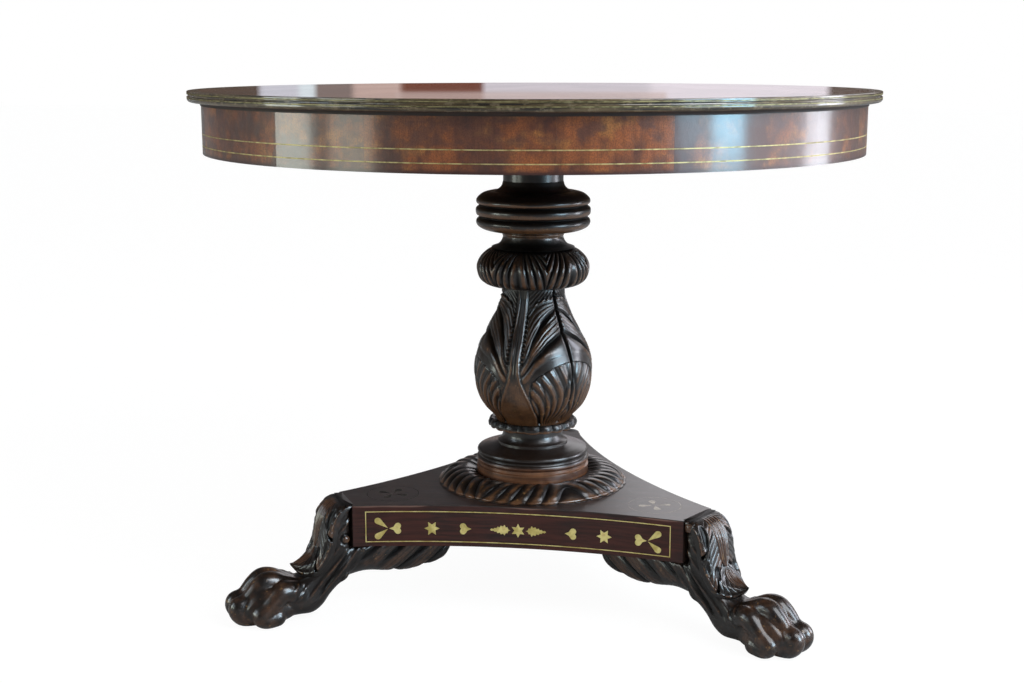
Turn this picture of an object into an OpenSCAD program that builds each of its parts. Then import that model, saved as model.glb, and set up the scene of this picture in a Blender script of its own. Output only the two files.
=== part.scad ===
// Round centre table: a tilting, brass-lined top on a carved column, which stands
// on a three-cornered platform with hollow sides and three lion-paw legs.
// Millimetres, +Z up. The origin is on the floor under the column, and the back
// leg points along +Y.

/* [Whole table] */
// Height of the table from the floor to the top surface
table_h = 739; // [730:1:750]
// Diameter of the top over its moulded edge
top_d = 964; // [940:2:1000]

/* [Top boards and edge] */
// Thickness of the face veneer on the top
veneer_t = 1.2; // [0.8:0.1:1.6]
// Thickness of the boards under the face veneer
board_t = 13.4; // [12:0.2:16]
// Number of boards jointed across the top
board_count = 5; // [4:1:6]
// Width of the moulded edge that runs round the boards
moulding_w = 16; // [14:0.5:20]
// Height of the cove under the moulded edge, where it meets the frieze
cove_h = 5; // [4:0.5:7]
// Height of each brass line
brass_w = 1.2; // [0.8:0.1:1.5]
// Depth of each brass line and motif
brass_t = 0.9; // [0.6:0.1:1]

/* [Frieze] */
// How far the moulded edge stands out past the frieze
frieze_inset = 18.5; // [17:0.5:24]
// Depth of the frieze under the boards
frieze_h = 70.2; // [60:0.2:74]
// Thickness of the wooden blocks behind the frieze veneer
frieze_t = 22; // [18:1:28]
// Courses of blocks, one above the other like bricks
course_count = 2; // [2:1:3]
// Blocks in each course
block_count = 12; // [10:1:16]
// Height of the lower brass line above the frieze's lower edge
low_line_z = 11.4; // [8:0.2:14]
// Distance between the two brass lines of the frieze
line_gap = 15.7; // [12:0.1:20]
// Number of veneer leaves round the frieze
leaf_count = 8; // [6:1:12]

/* [Block, bearers and bolts] */
// Side of the square block that carries the top
block_w = 300; // [290:2:320]
// Thickness of the block
block_t = 44; // [40:1:48]
// Clearance between the block and the boards that rest on it
rest_gap = 0.3; // [0.2:0.1:0.5]
// Width of each bearer under the top
bearer_w = 30; // [26:1:36]
// Depth of each bearer
bearer_h = 42; // [38:1:46]
// Running gap between the block and each bearer
bearer_gap = 0.5; // [0.3:0.1:1]
// Radius of the two pivot pins
pivot_r = 9; // [7:0.5:10]
// Length of a pivot pin inside the block
pivot_in = 40; // [30:1:50]
// Radial clearance of the pivot pins in the bearers
pivot_fit = 0.06; // [0.03:0.01:0.1]
// Distance between the two sliding bolts
bolt_span = 160; // [130:2:190]
// Travel of each sliding bolt
bolt_travel = 12; // [10:1:14]
// Width of the bolt's flat bar
bar_w = 14; // [12:1:16]
// Thickness of the bolt's flat bar
bar_t = 5; // [4:0.5:6]
// Length of the brass case that guides the bar
case_l = 46; // [40:1:52]
// Sliding clearance round the bar
bar_fit = 0.3; // [0.2:0.05:0.4]

/* [Column] */
// Radius of the plain necks of the column
neck_r = 43.5; // [41:0.5:46]
// Radius of the three reeds on the upper collar
reed_r = 82.5; // [80:0.5:86]
// Height of the reeded collar
collar_h = 63; // [60:0.5:68]
// Height of the plain neck between the collar and the gadroons
mid_neck_h = 22; // [18:0.5:28]
// Height of the gadrooned ring
gadroon_h = 57; // [52:0.5:62]
// Radius of the gadrooned ring
gadroon_r = 82; // [79:0.5:86]
// Number of gadroons round the ring
gadroon_count = 42; // [36:3:48]
// Height of the plain neck between the collar and the block
upper_neck_h = 81.1; // [72:0.1:90]
// Radius of the vase at its widest
vase_r = 85.8; // [80:0.2:90]
// Depth of the leaf carving on the vase
carve_d = 2.6; // [1.5:0.1:3.5]
// Radius of the scalloped cuff under the vase
cuff_r = 66; // [63:0.5:70]
// Number of scallops round the cuff
cuff_count = 21; // [18:3:27]
// Height of the turned socle
socle_h = 66.5; // [62:0.5:72]
// Radius of the socle's drum
drum_r = 82.7; // [80:0.5:86]
// Radius of the carved leaf collar on the platform
leaf_r = 136.5; // [130:0.5:140]
// Thickness of the leaf collar under the drum
leaf_h = 13.5; // [11:0.5:17]
// Number of flutes round the leaf collar
flute_count = 39; // [33:3:45]
// Radius of the long spigot that threads the column together
spigot_r = 20; // [17:0.5:23]
// Radial gap that glue fills in the wooden joints
glue_gap = 0.1; // [0.05:0.05:0.2]

/* [Platform] */
// Height of the platform's underside above the floor
platform_z = 106; // [102:1:110]
// Thickness of the platform
platform_t = 60; // [54:1:66]
// Distance from the axis to each blunt end of the platform
end_r = 287.3; // [280:0.5:294]
// Width of each blunt end
end_w = 72.4; // [70:0.4:80]
// Distance from the axis to the middle of each hollow side
side_r = 147.3; // [143:0.5:152]
// Inset of the brass frame from the ends of a side
frame_end = 17; // [14:0.5:24]
// Height of the brass frame above the platform's underside
frame_low = 6; // [4:0.5:9]
// Distance of the brass frame below the platform's top
frame_high = 9; // [7:0.5:12]

/* [Legs] */
// Half width of a leg below the knee
shank_w = 33.5; // [31:0.5:36]
// Radius of the middle toes' pads
pad_r = 15.5; // [14:0.25:17]
// Radius of the outer toes' pads
outer_pad_r = 13; // [12:0.25:14]
// How far a middle toe reaches from the table's axis
toe_reach = 461; // [455:1:467]
// Height of the middle knuckles
knuckle_z = 72; // [69:0.5:75]
// Reach of the leaf's curled tip over the ankle
spur_reach = 371; // [365:1:377]

/* [Hidden] */
$fn = 96;

// Sizes of the top, worked out from the table's height and diameter
top_r = top_d / 2;
board_r = top_r - moulding_w;
frieze_r = top_r - frieze_inset;
core_r = frieze_r - veneer_t;
core_in = core_r - frieze_t;
board_z = table_h - veneer_t;
under_z = board_z - board_t;
frieze_z = under_z - frieze_h;
edge_h = veneer_t + board_t;
joint_gap = 0.15;

// The block hangs on its pivots just under the boards
block_top = under_z - rest_gap;
block_low = block_top - block_t;
nose_r = block_t / 2;
pivot_z = block_top - nose_r;
pivot_back = 14;
pivot_y = pivot_back - block_w / 2;
bearer_x = block_w / 2 + bearer_gap;

// The two bolts lie behind the block, under the boards
bolt_clear = 2;
case_y = block_w / 2 + 3;
case_wall = 4;
case_h = bar_t + 2 * bar_fit + 2 * case_wall;
case_w = bar_w + 2 * bar_fit + 2 * case_wall;
bar_z = under_z - case_h / 2 - bar_t / 2;
bar_front = block_w / 2 + bolt_clear;
bar_l = case_l + case_y - bar_front - 1;
knob_r = 4;
knob_y = bar_front + bar_l * 0.62;
flange_w = 10;
flange_t = 2.5;
keeper_t = 1.5;
keeper_w = bar_w + 14;
keeper_h = bar_t + 6;

// Heights up the column; the vase takes up what is left under the block
platform_top = platform_z + platform_t;
socle_z = platform_top + leaf_h;
foot_z = socle_z + socle_h;
foot_h = 12;
vase_z = foot_z + foot_h;
shaft_z = block_low - upper_neck_h;
collar_z = shaft_z - collar_h;
neck_z = collar_z - mid_neck_h;
gadroon_z = neck_z - gadroon_h;
vase_h = gadroon_z - vase_z;
socket_h = 30;
tenon_r = spigot_r - 1;
platform_tenon_r = spigot_r + 2;
foot_r = 50;
seat_r = 60;
wedge_w = 5;
kerf_h = 30;

// The platform's plan: three blunt ends joined by three hollow sides
corner_x = end_r * cos(30) - end_w / 2 * sin(30);
corner_y = end_r * sin(30) + end_w / 2 * cos(30);
sagitta = corner_y - side_r;
hollow_r = (corner_x * corner_x + sagitta * sagitta) / (2 * sagitta);
motif_z = platform_z + frame_low + (platform_t - frame_low - frame_high) * 0.44;
frame_x = corner_x - frame_end;
leg_angles = [90, 210, 330];
side_angles = [270, 30, 150];

// Points on an arc about c, from angle a0 to a1
function arc(c, r, a0, a1, n = 6) =
  [for (i = [0:n]) c + r * [cos(a0 + (a1 - a0) * i / n), sin(a0 + (a1 - a0) * i / n)]];

// A smooth curve through rows of values, read at position t
function at(rows, t) =
  let (i = min(floor(t), len(rows) - 2), f = t - i,
       a = rows[max(i - 1, 0)], b = rows[i], c = rows[i + 1], d = rows[min(i + 2, len(rows) - 1)])
  b + 0.5 * f * (c - a + f * (2 * a - 5 * b + 4 * c - d + f * (3 * (b - c) + d - a)));

// A solid with a carved surface, from rings of n points each; closed rings of rings have a bore
module skin(rings, bored = false) {
  n = len(rings[0]);
  m = len(rings);
  last = bored ? m - 1 : m - 2;
  sides = [for (j = [0:last], i = [0:n - 1])
    let (a = j * n + i, b = j * n + (i + 1) % n, k = (j + 1) % m * n, c = k + (i + 1) % n, d = k + i)
    each [[a, c, b], [a, d, c]]];
  caps = bored ? [] : [[for (i = [0:n - 1]) i], [for (i = [n - 1:-1:0]) (m - 1) * n + i]];
  polyhedron(points = [for (ring = rings, p = ring) p], faces = concat(caps, sides));
}

// Which way the carving leans at angle a: it opens at the leaf's midrib and closes
// between two leaves
midrib_angle = 259.5;
function lean(a) = max(-1, min(1, 1.7 * sin(3 * (a - midrib_angle))));

// Rings for a carved annulus: profile rows are [radius, height, depth of carving]
function carved_rows(profile, count, twist) =
  [for (row = profile)
    [for (i = [0:count * 3 - 1])
      let (a = i * 120 / count,
           phase = count * a + twist * lean(a) * row[1],
           r = row[0] - row[2] * (0.5 - 0.5 * cos(phase)))
      [r * cos(a), r * sin(a), row[1]]]];

module ring(r_in, r_out, z0, z1) {
  rotate_extrude() translate([r_in, z0]) square([r_out - r_in, z1 - z0]);
}

// Round top

module top_groundwork() {
  w = 2 * board_r / board_count;
  color("peru") difference() {
    intersection() {
      translate([0, 0, under_z]) cylinder(r = board_r, h = board_t);
      for (i = [0:board_count - 1])
        translate([i * w - board_r + joint_gap / 2, -board_r, under_z - 1])
          cube([w - joint_gap, 2 * board_r, board_t + 2]);
    }
    for (side = [-1, 1], y = bearer_screw_ys)
      bearer_screw_at(side, y) screw(bearer_h - screw_sink + screw_bite, glue_gap);
  }
}

module top_veneer() {
  color("saddlebrown") translate([0, 0, board_z]) cylinder(r = board_r, h = veneer_t);
}

// The nose has a brass line, a hollow, a second brass line and a rounded lower edge
edge_line_z = [2.4, 8];
nose_hollow_z = 5.8;
nose_hollow = 1.6;
module edge_moulding() {
  round_r = edge_h - edge_line_z[1] - brass_w - 1;
  color("sienna") difference() {
    translate([0, 0, table_h]) rotate_extrude()
      polygon(concat([[board_r, 0], [board_r, -edge_h]],
        arc([top_r - round_r, round_r - edge_h], round_r, -90, 0),
        arc([top_r, -nose_hollow_z], nose_hollow, -90, -270),
        arc([top_r - 1, -1], 1, 0, 90, 3)));
    for (z = edge_line_z) edge_line(z, joint_gap / 2);
  }
}

// A small hollow moulding in the corner between the edge and the frieze
module cove_moulding() {
  lip = frieze_r + 0.05;
  color("sienna") translate([0, 0, under_z]) rotate_extrude()
    polygon(concat([[lip, 0], [lip, -cove_h]],
      arc([lip + cove_h + 1, -cove_h], cove_h, 180, 90)));
}

module edge_line(z, grow) {
  translate([0, 0, table_h - z - brass_w])
    ring(top_r - brass_t - grow, top_r + grow * 8, -grow, brass_w + grow);
}

module edge_brass_lines() {
  color("gold") for (z = edge_line_z) edge_line(z, 0);
}

// Frieze: blocks laid in courses like bricks, with the veneer glued on in leaves

module frieze_core() {
  course_h = frieze_h / course_count;
  step = 360 / block_count;
  slit = joint_gap / core_in * 57.3;
  color("peru") for (c = [0:course_count - 1], b = [0:block_count - 1])
    translate([0, 0, frieze_z + c * course_h])
      rotate([0, 0, (b + c % 2 / 2) * step])
        rotate_extrude(angle = step - slit)
          translate([core_in, 0]) square([frieze_t, course_h - joint_gap]);
}

line_zs = [low_line_z, low_line_z + line_gap];
module frieze_veneer() {
  step = 360 / leaf_count;
  slit = 0.08 / frieze_r * 57.3;
  deep = frieze_r - brass_t - joint_gap / 2;
  low = line_zs[0] - joint_gap / 2;
  high = line_zs[1] - joint_gap / 2;
  w = brass_w + joint_gap;
  color("chocolate") for (i = [0:leaf_count - 1]) translate([0, 0, frieze_z])
    rotate([0, 0, i * step - 34]) rotate_extrude(angle = step - slit)
      polygon([[core_r, 0], [frieze_r, 0], [frieze_r, low], [deep, low],
        [deep, low + w], [frieze_r, low + w], [frieze_r, high], [deep, high],
        [deep, high + w], [frieze_r, high + w], [frieze_r, frieze_h], [core_r, frieze_h]]);
}

module frieze_strings() {
  color("gold") for (z = line_zs)
    ring(frieze_r - brass_t, frieze_r, frieze_z + z, frieze_z + z + brass_w);
}

// Triangular blocks rubbed into the corner between the frieze and the boards
glue_block_w = 24;
glue_block_l = 58;
module glue_blocks() {
  half = glue_block_l / 2;
  angles = [for (a = [15:30:345]) let (x = abs(core_in * cos(a)))
    if (x > bearer_x + bearer_w + half || x < bearer_x - half) a];
  color("burlywood") intersection() {
    translate([0, 0, frieze_z]) cylinder(r = core_in, h = frieze_h, $fn = 360);
    for (a = angles) rotate([0, 0, a])
      translate([core_in - glue_block_w, glue_block_l / 2, under_z]) rotate([90, 0, 0])
        linear_extrude(glue_block_l)
          polygon([[0, 0], [glue_block_w + 5, 0], [glue_block_w + 5, -glue_block_w - 5]]);
  }
}

// Bearers: two rails screwed under the boards, bored for the pivot pins

bearer_screw_ys = [-330, -210, 60, 210, 330];
screw_r = 2.6;
screw_head_r = 5;
screw_sink = 24;
module screw(l, grow = 0) {
  cylinder(r = screw_r + grow, h = l + grow, $fn = 24);
  translate([0, 0, -grow]) cylinder(r1 = screw_head_r + grow, r2 = screw_r + grow, h = 3, $fn = 24);
}

module bearer(side) {
  x0 = side > 0 ? bearer_x : -bearer_x - bearer_w;
  difference() {
    intersection() {
      translate([x0, -core_in, under_z - bearer_h]) cube([bearer_w, 2 * core_in, bearer_h]);
      translate([0, 0, under_z - bearer_h - 1]) cylinder(r = core_in - joint_gap, h = bearer_h + 2);
    }
    translate([0, pivot_y, pivot_z]) rotate([0, 90, 0])
      cylinder(r = pivot_r + pivot_fit, h = 2 * core_in, center = true);
    for (y = bearer_screw_ys) bearer_screw_at(side, y) {
      screw(bearer_h, glue_gap);
      translate([0, 0, -screw_sink - 30]) cylinder(r = screw_head_r + 1, h = 30 + 0.01);
    }
  }
}

module bearer_screw_at(side, y) {
  translate([side * (bearer_x + bearer_w / 2), y, under_z - bearer_h + screw_sink]) children();
}

module bearer_left() { color("saddlebrown") bearer(-1); }
module bearer_right() { color("saddlebrown") bearer(1); }

// The screws' upper ends bite into the boards, so the boards carry matching holes
screw_bite = 8;
module bearer_screws() {
  color("dimgray") for (side = [-1, 1], y = bearer_screw_ys)
    bearer_screw_at(side, y) screw(bearer_h - screw_sink + screw_bite);
}

// Two brass bolts in their cases lock the top down to the block

module bolt_at(side) {
  translate([side * bolt_span / 2, 0, 0]) children();
}

module bolt_screw_at() {
  for (s = [-1, 1], y = [0.2, 0.8])
    translate([s * (case_w / 2 + flange_w / 2), case_y + case_l * y, under_z - flange_t]) children();
}

module bolt_case(side) {
  color("goldenrod") bolt_at(side) difference() {
    union() {
      translate([-case_w / 2, case_y, under_z - case_h]) cube([case_w, case_l, case_h]);
      translate([-case_w / 2 - flange_w, case_y, under_z - flange_t])
        cube([case_w + 2 * flange_w, case_l, flange_t]);
    }
    translate([-bar_w / 2 - bar_fit, case_y - 1, bar_z - bar_fit])
      cube([bar_w + 2 * bar_fit, case_l + 2, bar_t + 2 * bar_fit]);
    translate([-knob_r - 0.5, knob_y - bolt_travel - knob_r - 1, under_z - case_h - 1])
      cube([2 * knob_r + 1, bolt_travel + 2 * knob_r + 2, case_h / 2]);
    bolt_screw_at() translate([0, 0, -1]) cylinder(r = 1.6, h = flange_t + 2, $fn = 24);
  }
}

module bolt_case_left() { bolt_case(-1); }
module bolt_case_right() { bolt_case(1); }

module bolt_case_screws() {
  color("gold") for (side = [-1, 1]) bolt_at(side) bolt_screw_at() {
    translate([0, 0, -1.2]) cylinder(r = 3, h = 1.2, $fn = 24);
    translate([0, 0, -0.2]) cylinder(r = 1.5, h = flange_t + 0.2, $fn = 24);
  }
}

module sliding_bolt(side) {
  knob_h = bar_z - (under_z - case_h) + 9;
  color("gold") bolt_at(side) {
    translate([-bar_w / 2, bar_front, bar_z]) cube([bar_w, bar_l, bar_t]);
    translate([0, knob_y, bar_z - knob_h]) cylinder(r = knob_r - 1, h = knob_h + 1);
    translate([0, knob_y, bar_z - knob_h]) cylinder(r = knob_r, h = 5);
  }
}

module sliding_bolt_left() { sliding_bolt(-1); }
module sliding_bolt_right() { sliding_bolt(1); }

// Block on the head of the column, rounded along its front edge about the pivots

module keeper_pocket(side, grow) {
  low = bar_z + (bar_t - keeper_h) / 2 - grow;
  bolt_at(side) translate([-keeper_w / 2 - grow, block_w / 2 - keeper_t - grow, low])
    cube([keeper_w + 2 * grow, keeper_t + 2 * grow + 0.01, keeper_h + 2 * grow]);
}

module bolt_hole(side, depth) {
  loose = 0.6;
  bolt_at(side) translate([-bar_w / 2 - loose, block_w / 2 - depth, bar_z - loose])
    cube([bar_w + 2 * loose, depth + 1, bar_t + 2 * loose]);
}

module keeper_screw_at() {
  for (side = [-1, 1], s = [-1, 1])
    bolt_at(side) translate([s * (keeper_w / 2 - 3), block_w / 2, bar_z + bar_t / 2])
      rotate([90, 0, 0]) children();
}

module top_block() {
  color("saddlebrown") difference() {
    union() {
      translate([-block_w / 2, pivot_y, block_low])
        cube([block_w, block_w / 2 - pivot_y, block_t]);
      translate([0, pivot_y, pivot_z]) rotate([0, 90, 0])
        cylinder(r = nose_r, h = block_w, center = true);
    }
    translate([0, 0, block_low - 1]) cylinder(r = tenon_r + glue_gap, h = block_t + 2);
    for (s = [-1, 1]) translate([s * (block_w / 2 - pivot_in / 2 + 0.5), pivot_y, pivot_z])
      rotate([0, 90, 0]) cylinder(r = pivot_r + 0.05, h = pivot_in + 1, center = true);
    for (side = [-1, 1]) {
      keeper_pocket(side, 0.05);
      bolt_hole(side, bolt_travel + 4);
    }
    keeper_screw_at() cylinder(r = 1.3, h = 12, $fn = 24);
  }
}

module pivot_pins() {
  l = pivot_in + bearer_gap + bearer_w;
  color("tan") for (s = [-1, 1])
    translate([s * (block_w / 2 - pivot_in + l / 2), pivot_y, pivot_z]) rotate([0, 90, 0])
      cylinder(r = pivot_r, h = l - 0.4, center = true);
}

module keeper_plates() {
  color("gold") difference() {
    for (side = [-1, 1]) keeper_pocket(side, 0);
    for (side = [-1, 1]) bolt_hole(side, bolt_travel);
    keeper_screw_at() translate([0, 0, -1]) cylinder(r = 1.4, h = 12, $fn = 24);
  }
}

module keeper_screws() {
  color("gold") keeper_screw_at() translate([0, 0, 0.1]) cylinder(r = 1.2, h = 11, $fn = 24);
}

// Wedge that spreads a tenon in its mortise, also used with a little clearance as the kerf
module wedge(grow) {
  rotate([90, 0, 90]) linear_extrude(2 * tenon_r - 4, center = true)
    polygon([[-1 - grow, -kerf_h - grow], [1 + grow, -kerf_h - grow],
      [wedge_w / 2 + grow, grow], [-wedge_w / 2 - grow, grow]]);
}

module tenon_wedges() {
  color("burlywood") {
    translate([0, 0, block_top - 0.5]) wedge(0);
    translate([0, 0, platform_z + 0.5]) mirror([0, 0, 1]) wedge(0);
  }
}

// Column: turned and carved rings threaded on the spigots of the shaft and the socle

module upper_shaft() {
  top = block_top - 0.5;
  color("#3b2017") difference() {
    rotate_extrude() polygon([[0, gadroon_z - socket_h], [spigot_r - 1, gadroon_z - socket_h],
      [spigot_r, gadroon_z - socket_h + 1], [spigot_r, shaft_z], [neck_r, shaft_z],
      [neck_r, block_low], [tenon_r, block_low], [tenon_r, top], [0, top]]);
    translate([0, 0, top + 0.01]) wedge(glue_gap / 2);
  }
}

// Three reeds on one core, with a concave flare up to the neck
module reeded_collar() {
  reed = 8.2;
  pitch = 17;
  core = reed_r - 5;
  open = acos((core - reed_r + reed) / reed);
  low = 14;
  color("#402318") translate([0, 0, collar_z]) rotate_extrude() polygon(concat(
    [[spigot_r + glue_gap, 0], [neck_r + 0.3, 0], [neck_r + 0.3, 3.5], [reed_r - 20, 4.2]],
    [for (i = [0:2]) each arc([reed_r - reed, low + i * pitch], reed, -open, open, 10)],
    [[reed_r - 12, collar_h - 5], [reed_r - 22, collar_h - 4]],
    arc([neck_r + 9, collar_h + 3], 8.5, -90, -160, 5),
    [[neck_r, collar_h], [spigot_r + glue_gap, collar_h]]));
}

module middle_neck() {
  color("#3b2017") translate([0, 0, neck_z]) rotate_extrude() polygon(concat(
    [[spigot_r + glue_gap, 0], [neck_r + 6.5, 0], [neck_r + 6, 1]],
    arc([neck_r + 9, 9.5], 8.7, -115, -180, 5),
    [[neck_r + 0.3, mid_neck_h], [spigot_r + glue_gap, mid_neck_h]]));
}

// Gadroons that lean one way from each midrib and the other way from each gap
module gadroon_ring() {
  k = gadroon_h / 57;
  rows = [[spigot_r + glue_gap, 0, 0], [neck_r + 2, 0, 0], [gadroon_r - 14, 4 * k, 1.2],
    [gadroon_r - 4, 16 * k, 3.4], [gadroon_r, 28 * k, 3.6], [gadroon_r - 6, 44 * k, 3.4],
    [gadroon_r - 26, 56 * k, 0.5], [spigot_r + glue_gap, gadroon_h, 0]];
  color("#4a2a1c") translate([0, 0, gadroon_z])
    skin([for (i = [len(rows) - 1:-1:0]) carved_rows(rows, gadroon_count, 7)[i]], true);
}

// Outline of the vase: height as a share of the whole, and radius as a share of the widest
vase_curve = [[0, 0.62], [0.04, 0.66], [0.13, 0.85], [0.24, 0.96], [0.36, 1],
  [0.46, 0.985], [0.56, 0.92], [0.68, 0.775], [0.8, 0.635], [0.92, 0.53], [1, 0.52]];
vase_rows = 24;

// Depth of cut at angle a and height share h: three great leaves with swept lobes,
// a raised midrib, a deep gap between leaves and a small leaf over each lower gap
function vase_cut(a, h) =
  let (u = (a - midrib_angle + 660) % 120 - 60, away = abs(u) / 60,
       gap = exp(-pow((1 - away) / 0.09, 2)) * (h > 0.45 ? 1 : 0.3),
       rib = exp(-pow(away / 0.1, 2)),
       lobes = 0.5 + 0.5 * cos(360 * (5.2 * h - 1.6 * away)),
       small = pow((1 - away) / 0.5, 2) + pow((h - 0.27) / 0.24, 2),
       fan = 0.5 + 0.5 * cos(900 * (1 - away) + 300 * h))
  carve_d * (gap + (small < 1 ? 0.25 + 0.45 * fan : h < 0.25 ? 0.15 : 0.55 * lobes) - 0.45 * rib);

module carved_vase() {
  rings = [for (j = [0:vase_rows])
    let (h = j / vase_rows, row = at(vase_curve, 10 * vase_place(h)))
    [for (i = [0:59]) let (a = 6 * i, fade = min(1, min(h, 1 - h) * 12),
       r = row[1] * vase_r - fade * vase_cut(a, h))
      [r * cos(a), r * sin(a), vase_z + row[0] * vase_h]]];
  color("#4a2a1c") difference() {
    union() {
      skin(rings);
      translate([0, 0, foot_z]) cylinder(r = foot_r, h = foot_h + 2);
    }
    translate([0, 0, foot_z - 1]) cylinder(r = spigot_r + glue_gap, h = socket_h + 2);
    translate([0, 0, gadroon_z - socket_h - 1])
      cylinder(r = spigot_r + glue_gap, h = socket_h + 2);
  }
}

// Position along the vase curve at which its height share is h
function vase_place(h, lo = 0, hi = 1, n = 12) =
  n == 0 ? (lo + hi) / 2
  : let (mid = (lo + hi) / 2)
    at(vase_curve, 10 * mid)[0] < h ? vase_place(h, mid, hi, n - 1) : vase_place(h, lo, mid, n - 1);

module leaf_cuff() {
  lip = vase_r * vase_curve[0][1] + 1;
  rows = [[foot_r + glue_gap, 0, 0], [cuff_r - 12, 0.5, 1.5], [cuff_r - 3, 6, 4],
    [cuff_r, foot_h, 5], [cuff_r - 4, foot_h + 3, 3.5], [lip + 1.5, foot_h + 1.5, 0],
    [lip, foot_h - 0.3, 0], [foot_r + glue_gap, foot_h - 1, 0]];
  color("#2f1a13") translate([0, 0, foot_z])
    skin([for (i = [len(rows) - 1:-1:0]) carved_rows(rows, cuff_count, 0)[i]], true);
}

// Drum, bead and plate, with a spigot up into the vase and a tenon through the platform
module turned_socle() {
  drum_h = 12.5;
  bead = 4.4;
  bead_z = 22;
  plate_z = 33.5;
  plate_r = drum_r - 1;
  seat = -leaf_h;
  foot = seat - platform_t + 0.5;
  neck = neck_r + 0.2;
  color("#54301f") translate([0, 0, socle_z]) difference() {
    rotate_extrude() polygon(concat(
      [[0, foot], [platform_tenon_r, foot], [platform_tenon_r, seat], [seat_r, seat], [seat_r, 0],
        [drum_r, 0], [drum_r, drum_h], [drum_r - 2.5, drum_h + 1.2], [drum_r - 2.5, bead_z - bead]],
      arc([drum_r - bead + 0.2, bead_z], bead, -75, 75, 8),
      [[drum_r - 3.5, bead_z + bead + 0.6], [drum_r - 3.5, plate_z - 5]],
      arc([plate_r - 4, plate_z], 4, -60, 80, 6),
      [[plate_r - 11, plate_z + 6], [plate_r - 21, plate_z + 8], [neck + 8, plate_z + 10.3]],
      arc([neck + 15, plate_z + 27], 15, -120, -180, 7),
      [[neck, socle_h], [spigot_r, socle_h], [spigot_r, socle_h + socket_h - 1],
        [0, socle_h + socket_h - 1]]));
    translate([0, 0, foot - 0.01]) mirror([0, 0, 1]) wedge(glue_gap / 2);
  }
}

// Ring of fluted leaves that curls down to a thin rim on the platform
module leaf_collar() {
  bore = seat_r + glue_gap;
  rows = [[bore, 0, 0], [leaf_r - 4, 0, 3], [leaf_r, 3.5, 4], [leaf_r - 5, 9, 4.5],
    [leaf_r - 17, leaf_h + 3, 5], [leaf_r - 33, leaf_h + 5, 3], [drum_r + 1.5, leaf_h, 0.5],
    [bore, leaf_h, 0]];
  color("#34201a") translate([0, 0, platform_top])
    skin([for (i = [len(rows) - 1:-1:0]) carved_rows(rows, flute_count, 14)[i]], true);
}

// Platform

module platform_plan(z0, h, r) {
  corners = [for (a = leg_angles, s = [-1, 1])
    [end_r * cos(a) - s * end_w / 2 * sin(a), end_r * sin(a) + s * end_w / 2 * cos(a)]];
  difference() {
    translate([0, 0, z0]) linear_extrude(h) polygon(corners);
    for (a = side_angles) rotate([0, 0, a + 90]) translate([0, -side_r - hollow_r, z0 - 1])
      cylinder(r = r, h = h + 2, $fn = 360);
  }
}

core_h = platform_t - veneer_t;
leg_screw_spots = [[270, 12], [270, -12], [205, 0]];
leg_screw_sink = 28;
leg_screw_bite = 25;
module plinth_core() {
  color("#5a3a28") difference() {
    platform_plan(platform_z, core_h, hollow_r + veneer_t + glue_gap / 2);
    translate([0, 0, platform_z - 1])
      cylinder(r = platform_tenon_r + glue_gap, h = platform_t + 2);
    leg_screws_at(glue_gap);
  }
}

module plinth_top_veneer() {
  color("#43211c") difference() {
    platform_plan(platform_z + core_h, veneer_t, hollow_r);
    translate([0, 0, platform_z]) cylinder(r = platform_tenon_r + glue_gap, h = platform_t + 2);
    top_motifs(platform_top - brass_t - 0.05, 2, 0.05);
  }
}

// A shell that follows the hollow of the front side
module side_shell(t, z0, h) {
  translate([0, -side_r - hollow_r, z0]) difference() {
    cylinder(r = hollow_r + t, h = h, $fn = 360);
    translate([0, 0, -1]) cylinder(r = hollow_r, h = h + 2, $fn = 360);
  }
}

module side_veneer(a) {
  color("#43211c") rotate([0, 0, a + 90]) difference() {
    intersection() {
      side_shell(veneer_t, platform_z, core_h);
      translate([-corner_x, -corner_y, platform_z]) cube([2 * corner_x, corner_y - side_r + 10, core_h]);
    }
    through_side() motif_row(inlay_fit);
    through_side() frame_line(inlay_fit);
  }
}

// Carries flat shapes through the hollow front side
inlay_fit = 0.05;
module through_side() {
  translate([0, -side_r + 10, motif_z]) rotate([90, 0, 0])
    linear_extrude(corner_y - side_r + 30) children();
}

module plinth_side_front() { side_veneer(side_angles[0]); }
module plinth_side_right() { side_veneer(side_angles[1]); }
module plinth_side_left() { side_veneer(side_angles[2]); }

// Brass motifs, each about its own centre

function star_points(r) = [for (i = [0:11]) (i % 2 == 0 ? r : r * 0.52) * [cos(30 * i), sin(30 * i)]];

// A heart with its tip at the centre and its lobes along +X
function heart_points(l, g) = let (a = 0.27 * l + g, flank = 0.15 * l + g)
  concat([[-g, 0], [0.36 * l, -flank]], arc([0.73 * l, -0.23 * l], a, -150, 52, 7),
    arc([0.73 * l, 0.23 * l], a, -52, 150, 7), [[0.36 * l, flank]]);

// A drop with its tip at the centre
function drop_points(l, a, g) = concat([[-g, 0]], arc([l - a, 0], a + g, -105, 105, 8));

// A leaf with five teeth a side, its stem at the centre and its tip along +X
leaf_teeth = [[0.1, 0.03], [0.17, 0.17], [0.22, 0.12], [0.3, 0.27], [0.36, 0.18], [0.48, 0.22],
  [0.53, 0.13], [0.64, 0.16], [0.69, 0.08], [0.78, 0.1], [0.84, 0.04], [0.94, 0.06]];
function leaf_points(l, g) = let (up = [for (p = leaf_teeth) [p[0] * l, p[1] * l + g]])
  concat([[-g, 0]], [for (p = up) [p[0], -p[1]]], [[l + g, 0]],
    [for (i = [len(up) - 1:-1:0]) up[i]]);

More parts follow.
